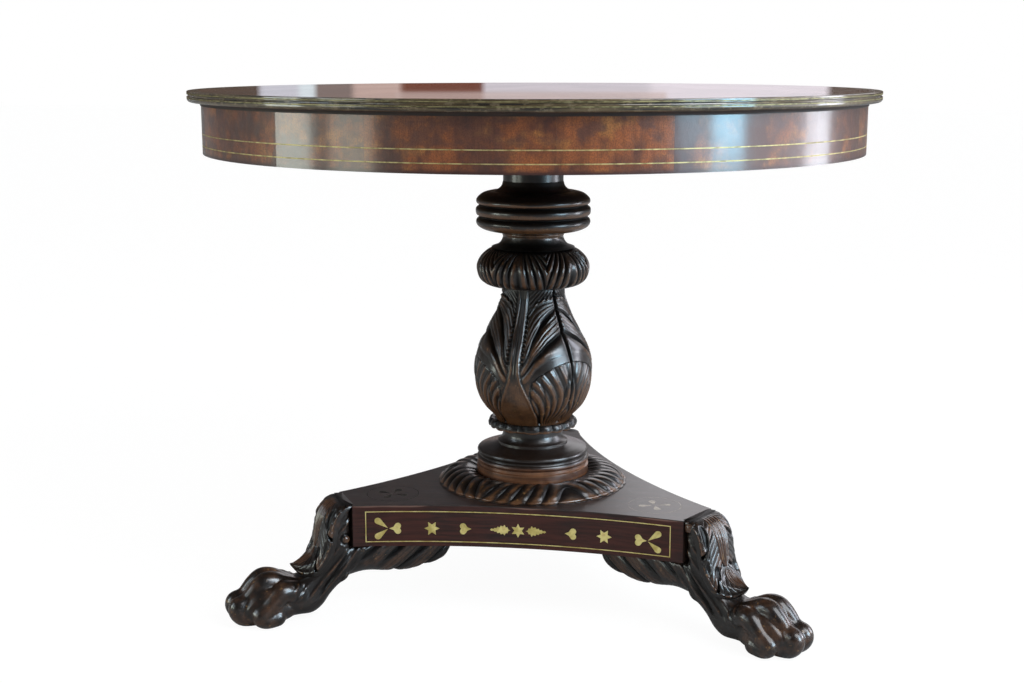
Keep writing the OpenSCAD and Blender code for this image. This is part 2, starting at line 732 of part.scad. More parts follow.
star_r = 10.8;
heart_l = 16.5;
trefoil_x = 182;
drop_l = 22;
star_x = 121.5;
heart_x = 74;
leaf_x = 10.6;
leaf_l = 29;
module motif_row(g) {
  rotate([0, 0, 90]) polygon(star_points(star_r - 0.6 + g));
  for (s = [0, 1]) mirror([s, 0]) {
    translate([leaf_x, 0]) polygon(leaf_points(leaf_l, g));
    translate([heart_x - heart_l / 2, 0]) polygon(heart_points(heart_l, g));
    translate([star_x, 0]) polygon(star_points(star_r + g));
    translate([trefoil_x, 0]) {
      for (a = [-38, 38]) rotate([0, 0, a]) translate([1, 0]) polygon(drop_points(drop_l, 4.6, g));
      rotate([0, 0, 180]) translate([1, 0]) polygon(heart_points(heart_l, g));
    }
  }
}

module frame_line(g) {
  low = platform_z + frame_low - motif_z;
  high = platform_top - frame_high - motif_z;
  difference() {
    translate([-frame_x - g, low - g]) square([2 * (frame_x + g), high - low + 2 * g]);
    translate([-frame_x + brass_w + g, low + brass_w + g])
      square([2 * (frame_x - brass_w - g), high - low - 2 * (brass_w + g)]);
  }
}

module side_strings() {
  color("gold") for (a = side_angles) rotate([0, 0, a + 90]) intersection() {
    side_shell(veneer_t, platform_z + 1, platform_t - 2);
    through_side() frame_line(0);
  }
}

module side_motifs() {
  color("gold") for (a = side_angles) rotate([0, 0, a + 90]) intersection() {
    side_shell(veneer_t, platform_z + 1, platform_t - 2);
    through_side() motif_row(0);
  }
}

// Four petals and a thin ring let into the platform's top near each end
corner_motif_r = 217;
corner_ring_r = 37;
module top_motifs(z0, h, g) {
  for (a = leg_angles) rotate([0, 0, a]) translate([corner_motif_r, 0, z0]) linear_extrude(h) {
    for (b = [45:90:315]) rotate([0, 0, b]) translate([2, 0]) polygon(drop_points(21, 5, g));
    difference() {
      circle(r = corner_ring_r + 0.4 + g);
      circle(r = corner_ring_r - 0.4 - g);
    }
  }
}

module plinth_top_motifs() {
  color("gold") top_motifs(platform_top - brass_t, brass_t, 0);
}

// Legs: knee and shank, a bracket under the platform, a curled leaf tip and four toes

// Rings about a line from back to front: rows are [front r, front z, back r, back z, half width]
function shank_rings(rows, n, square_up) =
  [for (row = rows)
    let (mr = (row[0] + row[2]) / 2, mz = (row[1] + row[3]) / 2,
         hr = (row[0] - row[2]) / 2, hz = (row[1] - row[3]) / 2)
    [for (i = [0:n - 1]) let (t = 360 * i / n, c = cos(t), s = sin(t),
       y = sign(c) * pow(abs(c), square_up) * row[4], u = sign(s) * pow(abs(s), square_up))
      [mr + u * hr, y, mz + u * hz]]];

// Rings under the platform: rows are [r, depth, share of the knee's half width], flat on top
function bracket_rings(rows, w, top) =
  [for (row = rows) concat([[row[0], row[2] * w, top], [row[0], -row[2] * w, top]],
    [for (i = [0:8]) let (t = 180 + 22.5 * i)
      [row[0], row[2] * w * cos(t), top - row[1] * (0.35 - 0.65 * sin(t))]])];

// Sections of the knee and shank, from the top of the knee to the ball of the paw; the
// knee is as wide as the platform's blunt end that it covers
function leg_rows(w) = let (top = platform_top, face = end_r + 0.3, low = platform_z, knee = end_w / 2)
  [[face + 14.5, top, face, top, knee - 2],
   [face + 24, top - 5.5, face, top - 10, knee],
   [face + 33.5, top - 20, face, top - 26, knee],
   [face + 38.5, top - 37, face, top - 43, knee],
   [face + 42, low + 7, face, low - 0.2, (knee + w) / 2],
   [face + 45, low - 9, face - 4, low - 22, w - 0.5],
   [face + 49, low - 24, face + 2, low - 50, w - 2],
   [face + 56.5, low - 36, face + 15, low - 59, w - 4.5],
   [face + 69, low - 44, face + 28, low - 72, w - 5.5],
   [face + 82, low - 45, face + 40, low - 88, w - 4.5],
   [face + 97, low - 41, face + 55, 7.5, w - 2],
   [face + 109, low - 36, face + 75, 5, w - 0.5],
   [face + 120, low - 41, face + 96, 3, w - 1],
   [face + 127, low - 54, face + 113, 7, w - 4]];

bracket_rows = [[128, 14, 0.2], [132, 28, 0.32], [141, 41, 0.48], [157, 48, 0.6], [182, 52.5, 0.7],
  [210, 53.7, 0.76], [240, 50.5, 0.8], [268, 48, 0.84], [300, 54, 0.9]];

// The leaf lies over the knee's front, proud of its sides, and curls up to a point
function cape_rows(w) = let (proud = 2.5, share = 0.22)
  [for (row = [for (i = [0:6]) leg_rows(w)[i]])
    let (br = row[0] + (row[2] - row[0]) * share, bz = row[1] + (row[3] - row[1]) * share)
    [row[0] + proud, row[1] + 0.2, br, bz, row[4] + 1.6]];
function spur_rows() = let (low = platform_z, tip = spur_reach)
  [[tip - 42, low - 3, tip - 50, low - 24, 29], [tip - 32, low - 20, tip - 39, low - 43, 27],
   [tip - 21, low - 26, tip - 25, low - 43, 19], [tip - 9, low - 27, tip - 11, low - 37, 9],
   [tip, low - 26, tip - 1, low - 29, 1.5]];

// A toe runs from the instep over a high knuckle and a notch to its pad, then back
// to the ball that it stands on; joints are [r, y, z, radius]
sole = 0.5;
module toe(joints) {
  for (i = [0:3]) hull() for (j = [i, i + 1])
    translate([joints[j][0], joints[j][1], joints[j][2]]) sphere(r = joints[j][3], $fn = 8);
}

// Height of a ball whose flat underside is cut on the floor
function standing(r) = r * cos(22.5) - sole;

inner_toe_y = 10.5;
module inner_toe(s) {
  r = pad_r;
  y = s * inner_toe_y;
  toe([[toe_reach - 74, y * 0.6, knuckle_z - r - 11, r], [toe_reach - 46, y, knuckle_z - r, r],
    [toe_reach - 31, y, knuckle_z - 31, r - 1], [toe_reach - r, y, 1.5 * r, r],
    [toe_reach - 44, y, standing(r - 1), r - 1]]);
}

// An outer toe hangs down the side of the paw, with no notch
outer_toe_y = 27.5;
outer_toe_back = 23;
module outer_toe(s) {
  r = outer_pad_r;
  y = s * outer_toe_y;
  reach = toe_reach - outer_toe_back;
  toe([[reach - 62, y * 0.55, knuckle_z - 28, r], [reach - 42, y * 0.9, knuckle_z - 8 - r, r],
    [reach - 28, y, knuckle_z - 43, r - 0.5], [reach - r, y, standing(r + 0.5) + 2, r + 0.5],
    [reach - 38, y * 0.95, standing(r - 0.5), r - 0.5]]);
}

scroll_r = 10;
module leg(a) {
  color("#33201a") rotate([0, 0, a]) difference() {
    union() {
      skin(shank_rings(leg_rows(shank_w), 16, 0.7));
      skin(shank_rings(cape_rows(shank_w), 12, 0.7));
      skin(shank_rings(spur_rows(), 12, 0.8));
      skin(bracket_rings(bracket_rows, shank_w, platform_z));
      translate([end_r + scroll_r + 3, 0, platform_top - scroll_r - 3]) rotate([90, 0, 0])
        cylinder(r = scroll_r, h = end_w + 1, center = true, $fn = 12);
      for (s = [-1, 1]) {
        inner_toe(s);
        outer_toe(s);
      }
    }
    translate([end_r, -toe_reach, -pad_r]) cube([toe_reach, 2 * toe_reach, pad_r]);
    leg_screw_holes();
  }
}

module leg_screw_holes() {
  for (p = leg_screw_spots) translate([p[0], p[1], 0]) {
    cylinder(r = screw_head_r + 1, h = platform_z - leg_screw_sink + 3.2, $fn = 12);
    cylinder(r = screw_r + 0.4, h = platform_z + 1, $fn = 12);
  }
}

module leg_screws_at(grow) {
  for (a = leg_angles, p = leg_screw_spots) rotate([0, 0, a])
    translate([p[0], p[1], platform_z - leg_screw_sink]) screw(leg_screw_sink + leg_screw_bite, grow);
}

module leg_back() { leg(leg_angles[0]); }
module leg_left() { leg(leg_angles[1]); }
module leg_right() { leg(leg_angles[2]); }

module leg_screws() {
  color("dimgray") leg_screws_at(0);
}

top_groundwork();
top_veneer();
edge_moulding();
cove_moulding();
edge_brass_lines();
frieze_core();
frieze_veneer();
frieze_strings();
glue_blocks();
bearer_left();
bearer_right();
bearer_screws();
bolt_case_left();
bolt_case_right();
bolt_case_screws();
sliding_bolt_left();
sliding_bolt_right();
top_block();
pivot_pins();
keeper_plates();
keeper_screws();
tenon_wedges();
upper_shaft();
reeded_collar();
middle_neck();
gadroon_ring();
carved_vase();
leaf_cuff();
turned_socle();
leaf_collar();
plinth_core();
plinth_top_veneer();
plinth_side_front();
plinth_side_left();
plinth_side_right();
side_strings();
side_motifs();
plinth_top_motifs();
leg_back();
leg_left();
leg_right();
leg_screws();
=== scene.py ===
"""Round centre table: three lion-paw legs and a hollow-sided platform carry a carved
column, and on its block tips a brass-lined round top. Lengths in the carving are in
millimetres, and turn to metres when they go into a mesh."""
from math import pi, radians

import bpy
import numpy as np
from mathutils import Matrix, Vector


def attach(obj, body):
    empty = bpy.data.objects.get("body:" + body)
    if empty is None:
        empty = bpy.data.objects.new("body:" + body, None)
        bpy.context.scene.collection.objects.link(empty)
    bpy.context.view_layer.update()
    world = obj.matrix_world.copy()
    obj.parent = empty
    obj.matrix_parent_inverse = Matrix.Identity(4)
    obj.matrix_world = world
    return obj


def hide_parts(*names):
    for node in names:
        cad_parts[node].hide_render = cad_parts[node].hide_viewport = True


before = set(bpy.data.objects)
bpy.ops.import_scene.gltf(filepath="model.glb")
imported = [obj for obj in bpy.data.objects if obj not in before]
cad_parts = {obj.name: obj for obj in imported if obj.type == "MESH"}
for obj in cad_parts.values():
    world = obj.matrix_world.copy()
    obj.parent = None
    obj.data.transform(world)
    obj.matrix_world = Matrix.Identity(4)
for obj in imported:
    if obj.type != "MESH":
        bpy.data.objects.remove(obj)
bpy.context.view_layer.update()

# Studio
# A plain pale floor runs away to a white background. Low lamps stand on both sides as
# windows for the polished frieze, and a large soft lamp hangs high on the right.

bpy.ops.object.camera_add(location=(0.287774, -2.09702, 0.7873),
                          rotation=(radians(78.943), 0, radians(8.643)))
camera = bpy.context.object
camera.data.lens = 51.66
camera.data.sensor_width = 36
bpy.context.scene.camera = camera
bpy.context.scene.view_settings.view_transform = "Standard"


class Grain:
    """One socket of a finish. Sums written with it add the nodes that work them out."""

    def __init__(self, tree, socket=None):
        self.tree, self.socket = tree, socket

    def node(self, kind, settings=None, sockets=None, out=0):
        node = self.tree.nodes.new("ShaderNode" + kind)
        for name, value in (settings or {}).items():
            if name == "stops":
                ramp = node.color_ramp.elements
                ramp.remove(ramp[1])
                ramp[0].position, ramp[0].color = value[0]
                for position, colour in value[1:]:
                    ramp.new(position).color = colour
            else:
                setattr(node, name, value)
        for name, value in (sockets or {}).items():
            if isinstance(value, Grain):
                self.tree.links.new(value.socket, node.inputs[name])
            else:
                node.inputs[name].default_value = value
        if isinstance(out, tuple):
            return [Grain(self.tree, node.outputs[o]) for o in out]
        return Grain(self.tree, node.outputs[out])

    def maths(self, operation, *values):
        return self.node("Math", {"operation": operation}, dict(enumerate(values)))

    def __add__(self, other):
        return self.maths("ADD", self, other)

    def __sub__(self, other):
        return self.maths("SUBTRACT", self, other)

    def __mul__(self, other):
        return self.maths("MULTIPLY", self, other)

    def __truediv__(self, other):
        return self.maths("DIVIDE", self, other)

    def __rsub__(self, other):
        return self.maths("SUBTRACT", other, self)

    __radd__ = __add__
    __rmul__ = __mul__

    def step(self, low, high):
        """Rises smoothly from 0 at low to 1 at high"""
        return self.node("MapRange", {"interpolation_type": "SMOOTHSTEP"}, {0: self, 1: low, 2: high})

    def blend(self, first, second):
        """The first colour where this is 0, the second where it is 1"""
        return self.node("Mix", {"data_type": "RGBA"}, {0: self, 6: first, 7: second}, out=2)

    def stretch(self, x, y, z):
        """A place scaled along each axis"""
        return self.node("VectorMath", {"operation": "MULTIPLY"}, {0: self, 1: (x, y, z)})

    def noise(self, scale, detail=3, rough=0.55):
        """Noise read at this place"""
        return self.node("TexNoise", None, {"Vector": self, "Scale": scale, "Detail": detail,
                                            "Roughness": rough})

    def axes(self):
        return self.node("SeparateXYZ", None, {0: self}, out=(0, 1, 2))

    def place(self, x, y, z):
        return self.node("CombineXYZ", None, {0: x, 1: y, 2: z})

    def bump(self, strength, distance):
        """This height as a bump"""
        return self.node("Bump", None, {"Strength": strength, "Distance": distance, "Height": self})


def tone(red, green, blue):
    """A colour from screen values of 0 to 255"""
    return tuple(((c / 255 + 0.055) / 1.055) ** 2.4 if c > 10 else c / 255 / 12.92
                 for c in (red, green, blue)) + (1,)


def finish(name, pieces, paint):
    """Makes a finish from the sockets that paint returns, and puts it on the pieces"""
    material = bpy.data.materials.new(name)
    material.use_nodes = True
    tree = material.node_tree
    shader = tree.nodes["Principled BSDF"]
    grain = Grain(tree)
    for socket, value in paint(grain, grain.node("TexCoord", out="Object")).items():
        if isinstance(value, Grain):
            tree.links.new(value.socket, shader.inputs[socket])
        else:
            shader.inputs[socket].default_value = value
    for piece in pieces:
        if isinstance(piece, str):
            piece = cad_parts[piece]
        if not piece.material_slots:
            piece.data.materials.append(material)
        for slot in piece.material_slots:
            slot.material = material
    return material


bpy.ops.object.select_all(action="DESELECT")
bpy.ops.mesh.primitive_plane_add(size=40)
floor = bpy.context.object
floor.name = "studio_floor"


def floor_paint(grain, place):
    speck = place.noise(60).step(0.3, 0.7)
    return {"Base Color": speck.blend((0.44, 0.44, 0.44, 1), (0.46, 0.46, 0.46, 1)), "Roughness": 0.9}


floor_finish = finish("studio_white", [floor], floor_paint)
grain = Grain(floor_finish.node_tree)
white = grain.node("Emission", None, {"Color": (1, 1, 1, 1), "Strength": 1.18})
seen = grain.node("LightPath", out="Is Camera Ray") * 0.8
lit = Grain(floor_finish.node_tree, floor_finish.node_tree.nodes["Principled BSDF"].outputs[0])
mixed = grain.node("MixShader", None, {0: seen, 1: lit, 2: white})
floor_finish.node_tree.links.new(mixed.socket,
                                 floor_finish.node_tree.nodes["Material Output"].inputs[0])

world = bpy.data.worlds.new("studio_air")
bpy.context.scene.world = world
world.use_nodes = True
grain = Grain(world.node_tree)
seen, gloss, passing = grain.node(
    "LightPath", out=("Is Camera Ray", "Is Glossy Ray", "Is Transmission Ray"))
across, back, up = grain.node("TexCoord", out="Generated").axes()

# The far wall as polish mirrors it: curtains and panes, from left to right
side = across / grain.maths("MAXIMUM", back, 0.05)
dark_corner = (0.1, 0.075, 0.06, 1)
room = grain.node("ValToRGB", {"stops": [
    (0.0, dark_corner), (0.36, dark_corner), (0.368, tone(208, 208, 218)),
    (0.412, tone(208, 208, 218)), (0.42, tone(226, 236, 242)), (0.433, tone(226, 236, 242)),
    (0.441, tone(132, 118, 114)), (0.482, tone(132, 118, 114)), (0.49, tone(198, 172, 164)),
    (0.543, tone(198, 172, 164)), (0.552, tone(112, 66, 52)), (0.648, tone(112, 66, 52)),
    (0.656, tone(212, 206, 214)), (0.853, tone(214, 208, 216)), (0.864, tone(236, 228, 236))]},
    {0: (side + 0.53) * 1.82})
near = up.step(0.0235, 0.026) * (side.step(-0.235, -0.23) * (1 - side.step(-0.05, -0.045)))
room = (near * 0.7).blend(room, tone(206, 184, 178))
room = side.step(0.055, 0.062).blend(room, dark_corner)
ahead = back.step(0.1, 0.4)
wall = ahead * (1 - up.step(0.1, 0.2))

# Above the wall polish mirrors a dim room with a pale patch, and windows all round
sheen = side.step(-0.115, -0.05) * up.step(0.15, 0.24) * (1 - up.step(0.36, 0.5)) * ahead
dim = (sheen * 0.9).blend((0.06, 0.06, 0.065, 1), (1.75, 1.72, 1.78, 1))
turn = grain.maths("ARCTAN2", back, across)


def window(left, right, foot, head):
    """1 inside an upright window, whose sides are turns and whose foot and head are rises"""
    soft_turn, soft_rise = 5, 0.06
    wide = (turn.step(radians(left), radians(left + soft_turn))
            * (1 - turn.step(radians(right - soft_turn), radians(right))))
    return wide * up.step(foot, foot + soft_rise) * (1 - up.step(head - soft_rise, head))


for glass, sky in [(window(-38, -6, 0.07, 0.66), (8.6, 10.4, 12, 1)),
                   (window(14, 36, 0.1, 0.62), (6.6, 6.8, 7.8, 1)),
                   (window(-172, -148, 0.22, 0.6), (3.4, 4, 4.5, 1)),
                   (window(-142, -124, 0.22, 0.55), (2, 2.4, 2.6, 1))]:
    dim = glass.blend(dim, sky)
colour = grain.maths("MULTIPLY", wall, gloss).blend((1, 1, 1, 1), room)
colour = grain.maths("MULTIPLY", gloss, 1 - wall).blend(colour, dim)
plain = (1 - seen) * (1 - gloss) * (1 - passing) * -0.5 + 1
background = world.node_tree.nodes["Background"]
world.node_tree.links.new(colour.socket, background.inputs["Color"])
world.node_tree.links.new(plain.socket, background.inputs["Strength"])

# Two lamps on the left, five on the right for the bands of light on the frieze's right
# half, and the large soft one
aim = Vector((0, 0, 0.4))
for spot, width, height, watts, colour in [
        ((-2.29, -0.87, 0.47), 0.62, 0.52, 8, (0.92, 1, 0.9)),
        ((-2.0, -1.81, 0.47), 0.72, 0.52, 5.5, (0.92, 1, 0.88)),
        ((2.4, -1.05, 0.47), 0.68, 0.52, 6.5, (0.86, 0.94, 1)),
        ((2.11, -0.92, 0.63), 0.44, 0.2, 6, (0.25, 0.72, 1)),
        ((1.85, -1.36, 0.63), 0.36, 0.2, 2, (0.5, 0.8, 1)),
        ((2.55, 0.09, 0.47), 1.55, 0.52, 6, (0.92, 0.92, 1)),
        ((2.33, 0.67, 0.47), 0.56, 0.52, 9, (0.88, 0.92, 1)),
        ((1.7, -1.3, 2.1), 1.7, 1.3, 46, (0.93, 0.96, 1))]:
    facing = (aim - Vector(spot)).to_track_quat("-Z", "Y")
    bpy.ops.object.light_add(type="AREA", location=spot, rotation=facing.to_euler())
    lamp = bpy.context.object.data
    lamp.shape, lamp.size, lamp.size_y, lamp.energy = "RECTANGLE", width, height, watts
    lamp.color = colour

# Platform
# A three-cornered core of deal with hollow sides, veneered with dark rosewood. Brass
# lines and cut brass shapes are let into its sides, and four petals into each end of
# its top. The column's long tenon passes through it.


def rosewood_paint(grain, place):
    streaks = place.stretch(3, 3, 40).noise(6, 5).step(0.35, 0.65)
    fibres = place.stretch(5, 5, 260).noise(7, 3)
    cloud = place.noise(9, 2).step(0.35, 0.7)
    wear_and_painted_light = (place.axes()[2] + cloud * 0.004).step(0.1658, 0.1678)
    wood = streaks.blend(tone(30, 14, 11), tone(66, 31, 25))
    wood = (fibres.step(0.4, 0.62) * 0.6).blend(wood, tone(36, 17, 14))
    wood = (cloud * 0.3).blend(wood, tone(80, 40, 32))
    wood = (wear_and_painted_light * 0.7).blend(wood, tone(132, 100, 90))
    return {"Base Color": wood, "Roughness": fibres * 0.2 + 0.4, "Specular IOR Level": 0.2,
            "Coat Weight": cloud * -0.25 + 0.55, "Coat Roughness": 0.2,
            "Normal": fibres.bump(0.25, 0.0002)}


finish("rosewood_veneer", ["plinth_side_front", "plinth_side_left", "plinth_side_right"],
       rosewood_paint)


def platform_top_paint(grain, place):
    streaks = place.stretch(2, 30, 3).noise(6, 5).step(0.3, 0.7)
    dust = place.noise(26, 6, 0.7)
    rubbed = dust.step(0.46, 0.62)
    wood = streaks.blend(tone(24, 15, 13), tone(46, 28, 24))
    wood = (rubbed * 0.3).blend(wood, tone(78, 60, 54))
    return {"Base Color": wood, "Roughness": dust * 0.35 + 0.3, "Specular IOR Level": 0.4,
            "Coat Weight": 0.85, "Coat Roughness": 0.2, "Normal": dust.bump(0.25, 0.0003)}


finish("rosewood_top", ["plinth_top_veneer"], platform_top_paint)


def brass_paint(grain, place):
    stain = place.noise(55, 5, 0.65)
    fine = place.noise(900, 2)
    metal = stain.step(0.36, 0.62).blend(tone(186, 166, 92), tone(226, 210, 138))
    metal = (stain.step(0.6, 0.72) * 0.5).blend(metal, tone(176, 124, 66))
    return {"Base Color": metal, "Metallic": 0.35, "Roughness": stain * 0.3 + 0.35,
            "Normal": fine.bump(0.1, 0.0001)}


finish("old_brass", ["side_strings", "side_motifs"], brass_paint)


def worn_brass_paint(grain, place):
    stain = place.noise(70, 5, 0.65)
    return {"Base Color": stain.step(0.4, 0.66).blend(tone(70, 62, 52), tone(138, 132, 118)),
            "Metallic": 0.92, "Roughness": stain * 0.1 + 0.12, "Normal": stain.bump(0.1, 0.0001)}


finish("worn_brass", ["plinth_top_motifs"], worn_brass_paint)


def deal_paint(grain, place):
    rings = place.stretch(38, 1.4, 38).noise(3, 4)
    fibres = place.stretch(300, 8, 300).noise(2, 3)
    wood = rings.step(0.38, 0.62).blend(tone(150, 108, 66), tone(182, 140, 92))
    wood = (fibres.step(0.5, 0.7) * 0.5).blend(wood, tone(118, 80, 48))
    return {"Base Color": wood, "Roughness": fibres * 0.2 + 0.6, "Normal": fibres.bump(0.4, 0.0004)}


def stained_paint(grain, place):
    fibres = place.stretch(20, 20, 300).noise(2, 4)
    return {"Base Color": fibres.step(0.35, 0.65).blend(tone(30, 19, 15), tone(52, 33, 25)),
            "Roughness": fibres * 0.2 + 0.5, "Normal": fibres.bump(0.3, 0.0003)}


finish("stained_core", ["plinth_core"], stained_paint)

# Legs
# Each leg is carved from one piece of dark wood and screwed up into the platform by
# its bracket. An acanthus leaf covers the knee and curls up in a point over the ankle,
# a scroll ends on each cheek of the knee, and the foot is a lion's paw with four toes.

# Underside and top of the platform, and how far out the leg's flat back stands
platform_low, platform_high, leg_face = 106, 166, 287.6


def smooth_rows(rows, t):
    """A smooth curve through rows of values, read at positions t along them"""
    rows = np.asarray(rows, float)
    i = np.clip(np.floor(t).astype(int), 0, len(rows) - 2)
    f = (t - i)[..., None]
    a, b, c, d = (rows[np.clip(i + k, 0, len(rows) - 1)] for k in (-1, 0, 1, 2))
    return b + 0.5 * f * (c - a + f * (2 * a - 5 * b + 4 * c - d + f * (3 * (b - c) + d - a)))


def wrap(name, around, along, place):
    """Wraps a flat grid into a closed skin: place(turn, rise) gives the points, in
    millimetres, and the cut value there: the depth of the cut, with the painted light
    that some pieces add. Its ends run to one point or meet."""
    bpy.ops.object.select_all(action="DESELECT")
    bpy.ops.mesh.primitive_grid_add(x_subdivisions=around, y_subdivisions=along, size=2)
    piece = bpy.context.object
    piece.name = piece.data.name = name
    flat = np.empty(len(piece.data.vertices) * 3)
    piece.data.vertices.foreach_get("co", flat)
    flat = flat.reshape(-1, 3)
    turn = (flat[:, 0] + 1) * 180
    points, cut = place(np.where(turn > 359.999, 0, turn), np.clip((flat[:, 1] + 1) / 2, 0, 1))
    piece.data.vertices.foreach_set("co", (points * 0.001).ravel())
    piece.data.attributes.new("cut", "FLOAT", "POINT").data.foreach_set("value", cut)
    close_skin(piece)
    return piece


def close_skin(piece):
    """Merges the seam, and turns every face outwards"""
    bpy.ops.object.mode_set(mode="EDIT")
    bpy.ops.mesh.select_all(action="SELECT")
    bpy.ops.mesh.remove_doubles(threshold=0.00002)
    bpy.ops.mesh.normals_make_consistent(inside=False)
    bpy.ops.object.mode_set(mode="OBJECT")
    bpy.ops.object.shade_smooth()


cap_share = 0.05


def along_limb(rows, rise):
    """The rows read along a limb, and how far each place lies inside its closed ends"""
    t = np.clip(rise * (1 + 2 * cap_share) - cap_share, 0, 1)
    return (smooth_rows(rows, t * (len(rows) - 1)),
            np.clip(np.minimum(rise, 1 - rise) / cap_share, 0, 1))


def limb(name, rows, square):
    """A limb's skin through rows of [front r, front z, back r, back z, half width]"""
    def place(turn, rise):
        row, cap = along_limb(rows, rise)
        c, s = np.cos(np.radians(turn)), np.sin(np.radians(turn))
        y = np.sign(c) * np.abs(c) ** square * row[:, 4] * cap
        u = np.sign(s) * np.abs(s) ** square * cap
        r = (row[:, 0] + row[:, 2]) / 2 + u * (row[:, 0] - row[:, 2]) / 2
        z = (row[:, 1] + row[:, 3]) / 2 + u * (row[:, 1] - row[:, 3]) / 2
        return np.column_stack([r, y, z]), np.zeros_like(r)
    return wrap(name, 48, 90, place)


shank_rows = [[leg_face + front, z, leg_face + back, low, half] for front, z, back, low, half in [
    [10, 165.7, 0.2, 165.7, 34.5], [20, 160.5, 0, 156, 36], [29, 146, 0, 140, 36],
    [34, 129, 0, 123, 36], [38, 113, 0, 105.8, 35], [43, 97, -4, 84, 33],
    [49, 82, 2, 56, 31.5], [56.5, 70, 15, 47, 29], [69, 61, 28, 34, 28],
    [82, 59, 40, 18, 28.5], [95, 61, 55, 8.5, 30], [106, 62, 74, 8, 31],
    [114, 56, 92, 8, 30], [122, 46, 104, 14, 27]]]
leg_parts = [limb("shank", shank_rows, 0.62)]

# The bracket under the platform: rows of [distance out, half its depth, half width]
bracket_half = 33.5
bracket_rows = [[r, depth, share * bracket_half] for r, depth, share in [
    [129, 14, 0.2], [133, 28, 0.32], [142, 41, 0.48], [158, 48, 0.6], [183, 52.5, 0.7],
    [210, 53.7, 0.76], [240, 50.5, 0.8], [268, 48, 0.84], [300, 54, 0.9]]]


def bracket_place(turn, rise):
    row, cap = along_limb(bracket_rows, rise)
    r, depth, half = row.T
    c, s = np.cos(np.radians(turn)), np.sin(np.radians(turn))
    z = platform_low - np.where(s < 0, 0.35 - 0.65 * s, 0.35 * (1 - np.abs(s) ** 0.4)) * depth * cap
    return np.column_stack([r, np.sign(c) * np.abs(c) ** 0.8 * half * cap, z]), np.zeros_like(z)


leg_parts.append(wrap("bracket", 48, 90, bracket_place))

# Toes: each is a string of balls, in rows of [out, across, up, radius]. The inner ones
# run from the instep over a knuckle and a notch to the pad, and the outer ones hang
# down the side of the paw
inner_toe = [[366, 4, 42, 17], [384, 7, 52, 16], [397, 9, 59, 15.5], [409, 10.5, 60, 15],
             [419, 11.5, 53, 14.2], [427, 12, 45.5, 12.6], [433, 12, 39.5, 11.4], [440, 12, 34, 12.8],
             [446.5, 12, 30, 14.5], [447, 12, 23, 14.5], [440, 12, 15.5, 14], [424, 12, 13.5, 13.5]]
outer_toe = [[360, 14, 38, 17], [376, 23, 47, 15.5], [388, 28, 49, 14.5], [399, 30, 40, 13.5],
             [409, 30.5, 29, 13.2], [419, 30.5, 19, 14], [412, 30, 13.5, 13.7], [398, 28, 14.5, 14]]
palm = [[385, 0, 30, 22], [405, 0, 36, 24], [422, 0, 36, 17], [433, 0, 34, 12], [441, 0, 28, 13],
        [440, 0, 20, 15], [428, 14, 22, 17], [430, 20, 27, 12], [421, 21, 36, 12.5],
        [408, 20, 44, 14], [398, 19, 40, 17], [410, 22, 27, 17], [398, 21, 25, 18],
        [384, 16, 22, 17], [370, 8, 34, 20]]
for joints in (inner_toe, outer_toe, palm):
    balls = smooth_rows(joints, np.linspace(0, len(joints) - 1, 4 * len(joints)))
    for mirror in (1, -1):
        for x, y, z, ball in balls:
            bpy.ops.mesh.primitive_ico_sphere_add(
                subdivisions=3, radius=ball * 0.001,
                location=(x * 0.001, mirror * y * 0.001, z * 0.001))
            leg_parts.append(bpy.context.object)

bpy.ops.object.select_all(action="DESELECT")
for part in leg_parts:
    part.select_set(True)
bpy.context.view_layer.objects.active = leg_parts[0]
bpy.ops.object.join()
leg = bpy.context.object
bpy.ops.object.transform_apply()


def apply_modifier(piece, kind, **settings):
    modifier = piece.modifiers.new(kind.lower(), kind)
    for name, value in settings.items():
        setattr(modifier, name, value)
    bpy.context.view_layer.objects.active = piece
    bpy.ops.object.modifier_apply(modifier=modifier.name)


apply_modifier(leg, "REMESH", mode="VOXEL", voxel_size=0.00155, use_smooth_shade=True)
apply_modifier(leg, "SMOOTH", factor=0.6, iterations=8)


def points_of(piece, what="co"):
    flat = np.empty(len(piece.data.vertices) * 3)
    piece.data.vertices.foreach_get(what, flat)
    return flat.reshape(-1, 3)


def groove(phase, width=0.3):
    """1 along the middle of each cut, once a unit of phase, and 0 between the cuts"""
    away = np.abs((phase + 0.5) % 1 - 0.5)
    return np.clip(1 - away / width, 0, 1) ** 2


def bell(x, width):
    return np.exp(-(x / width) ** 2)


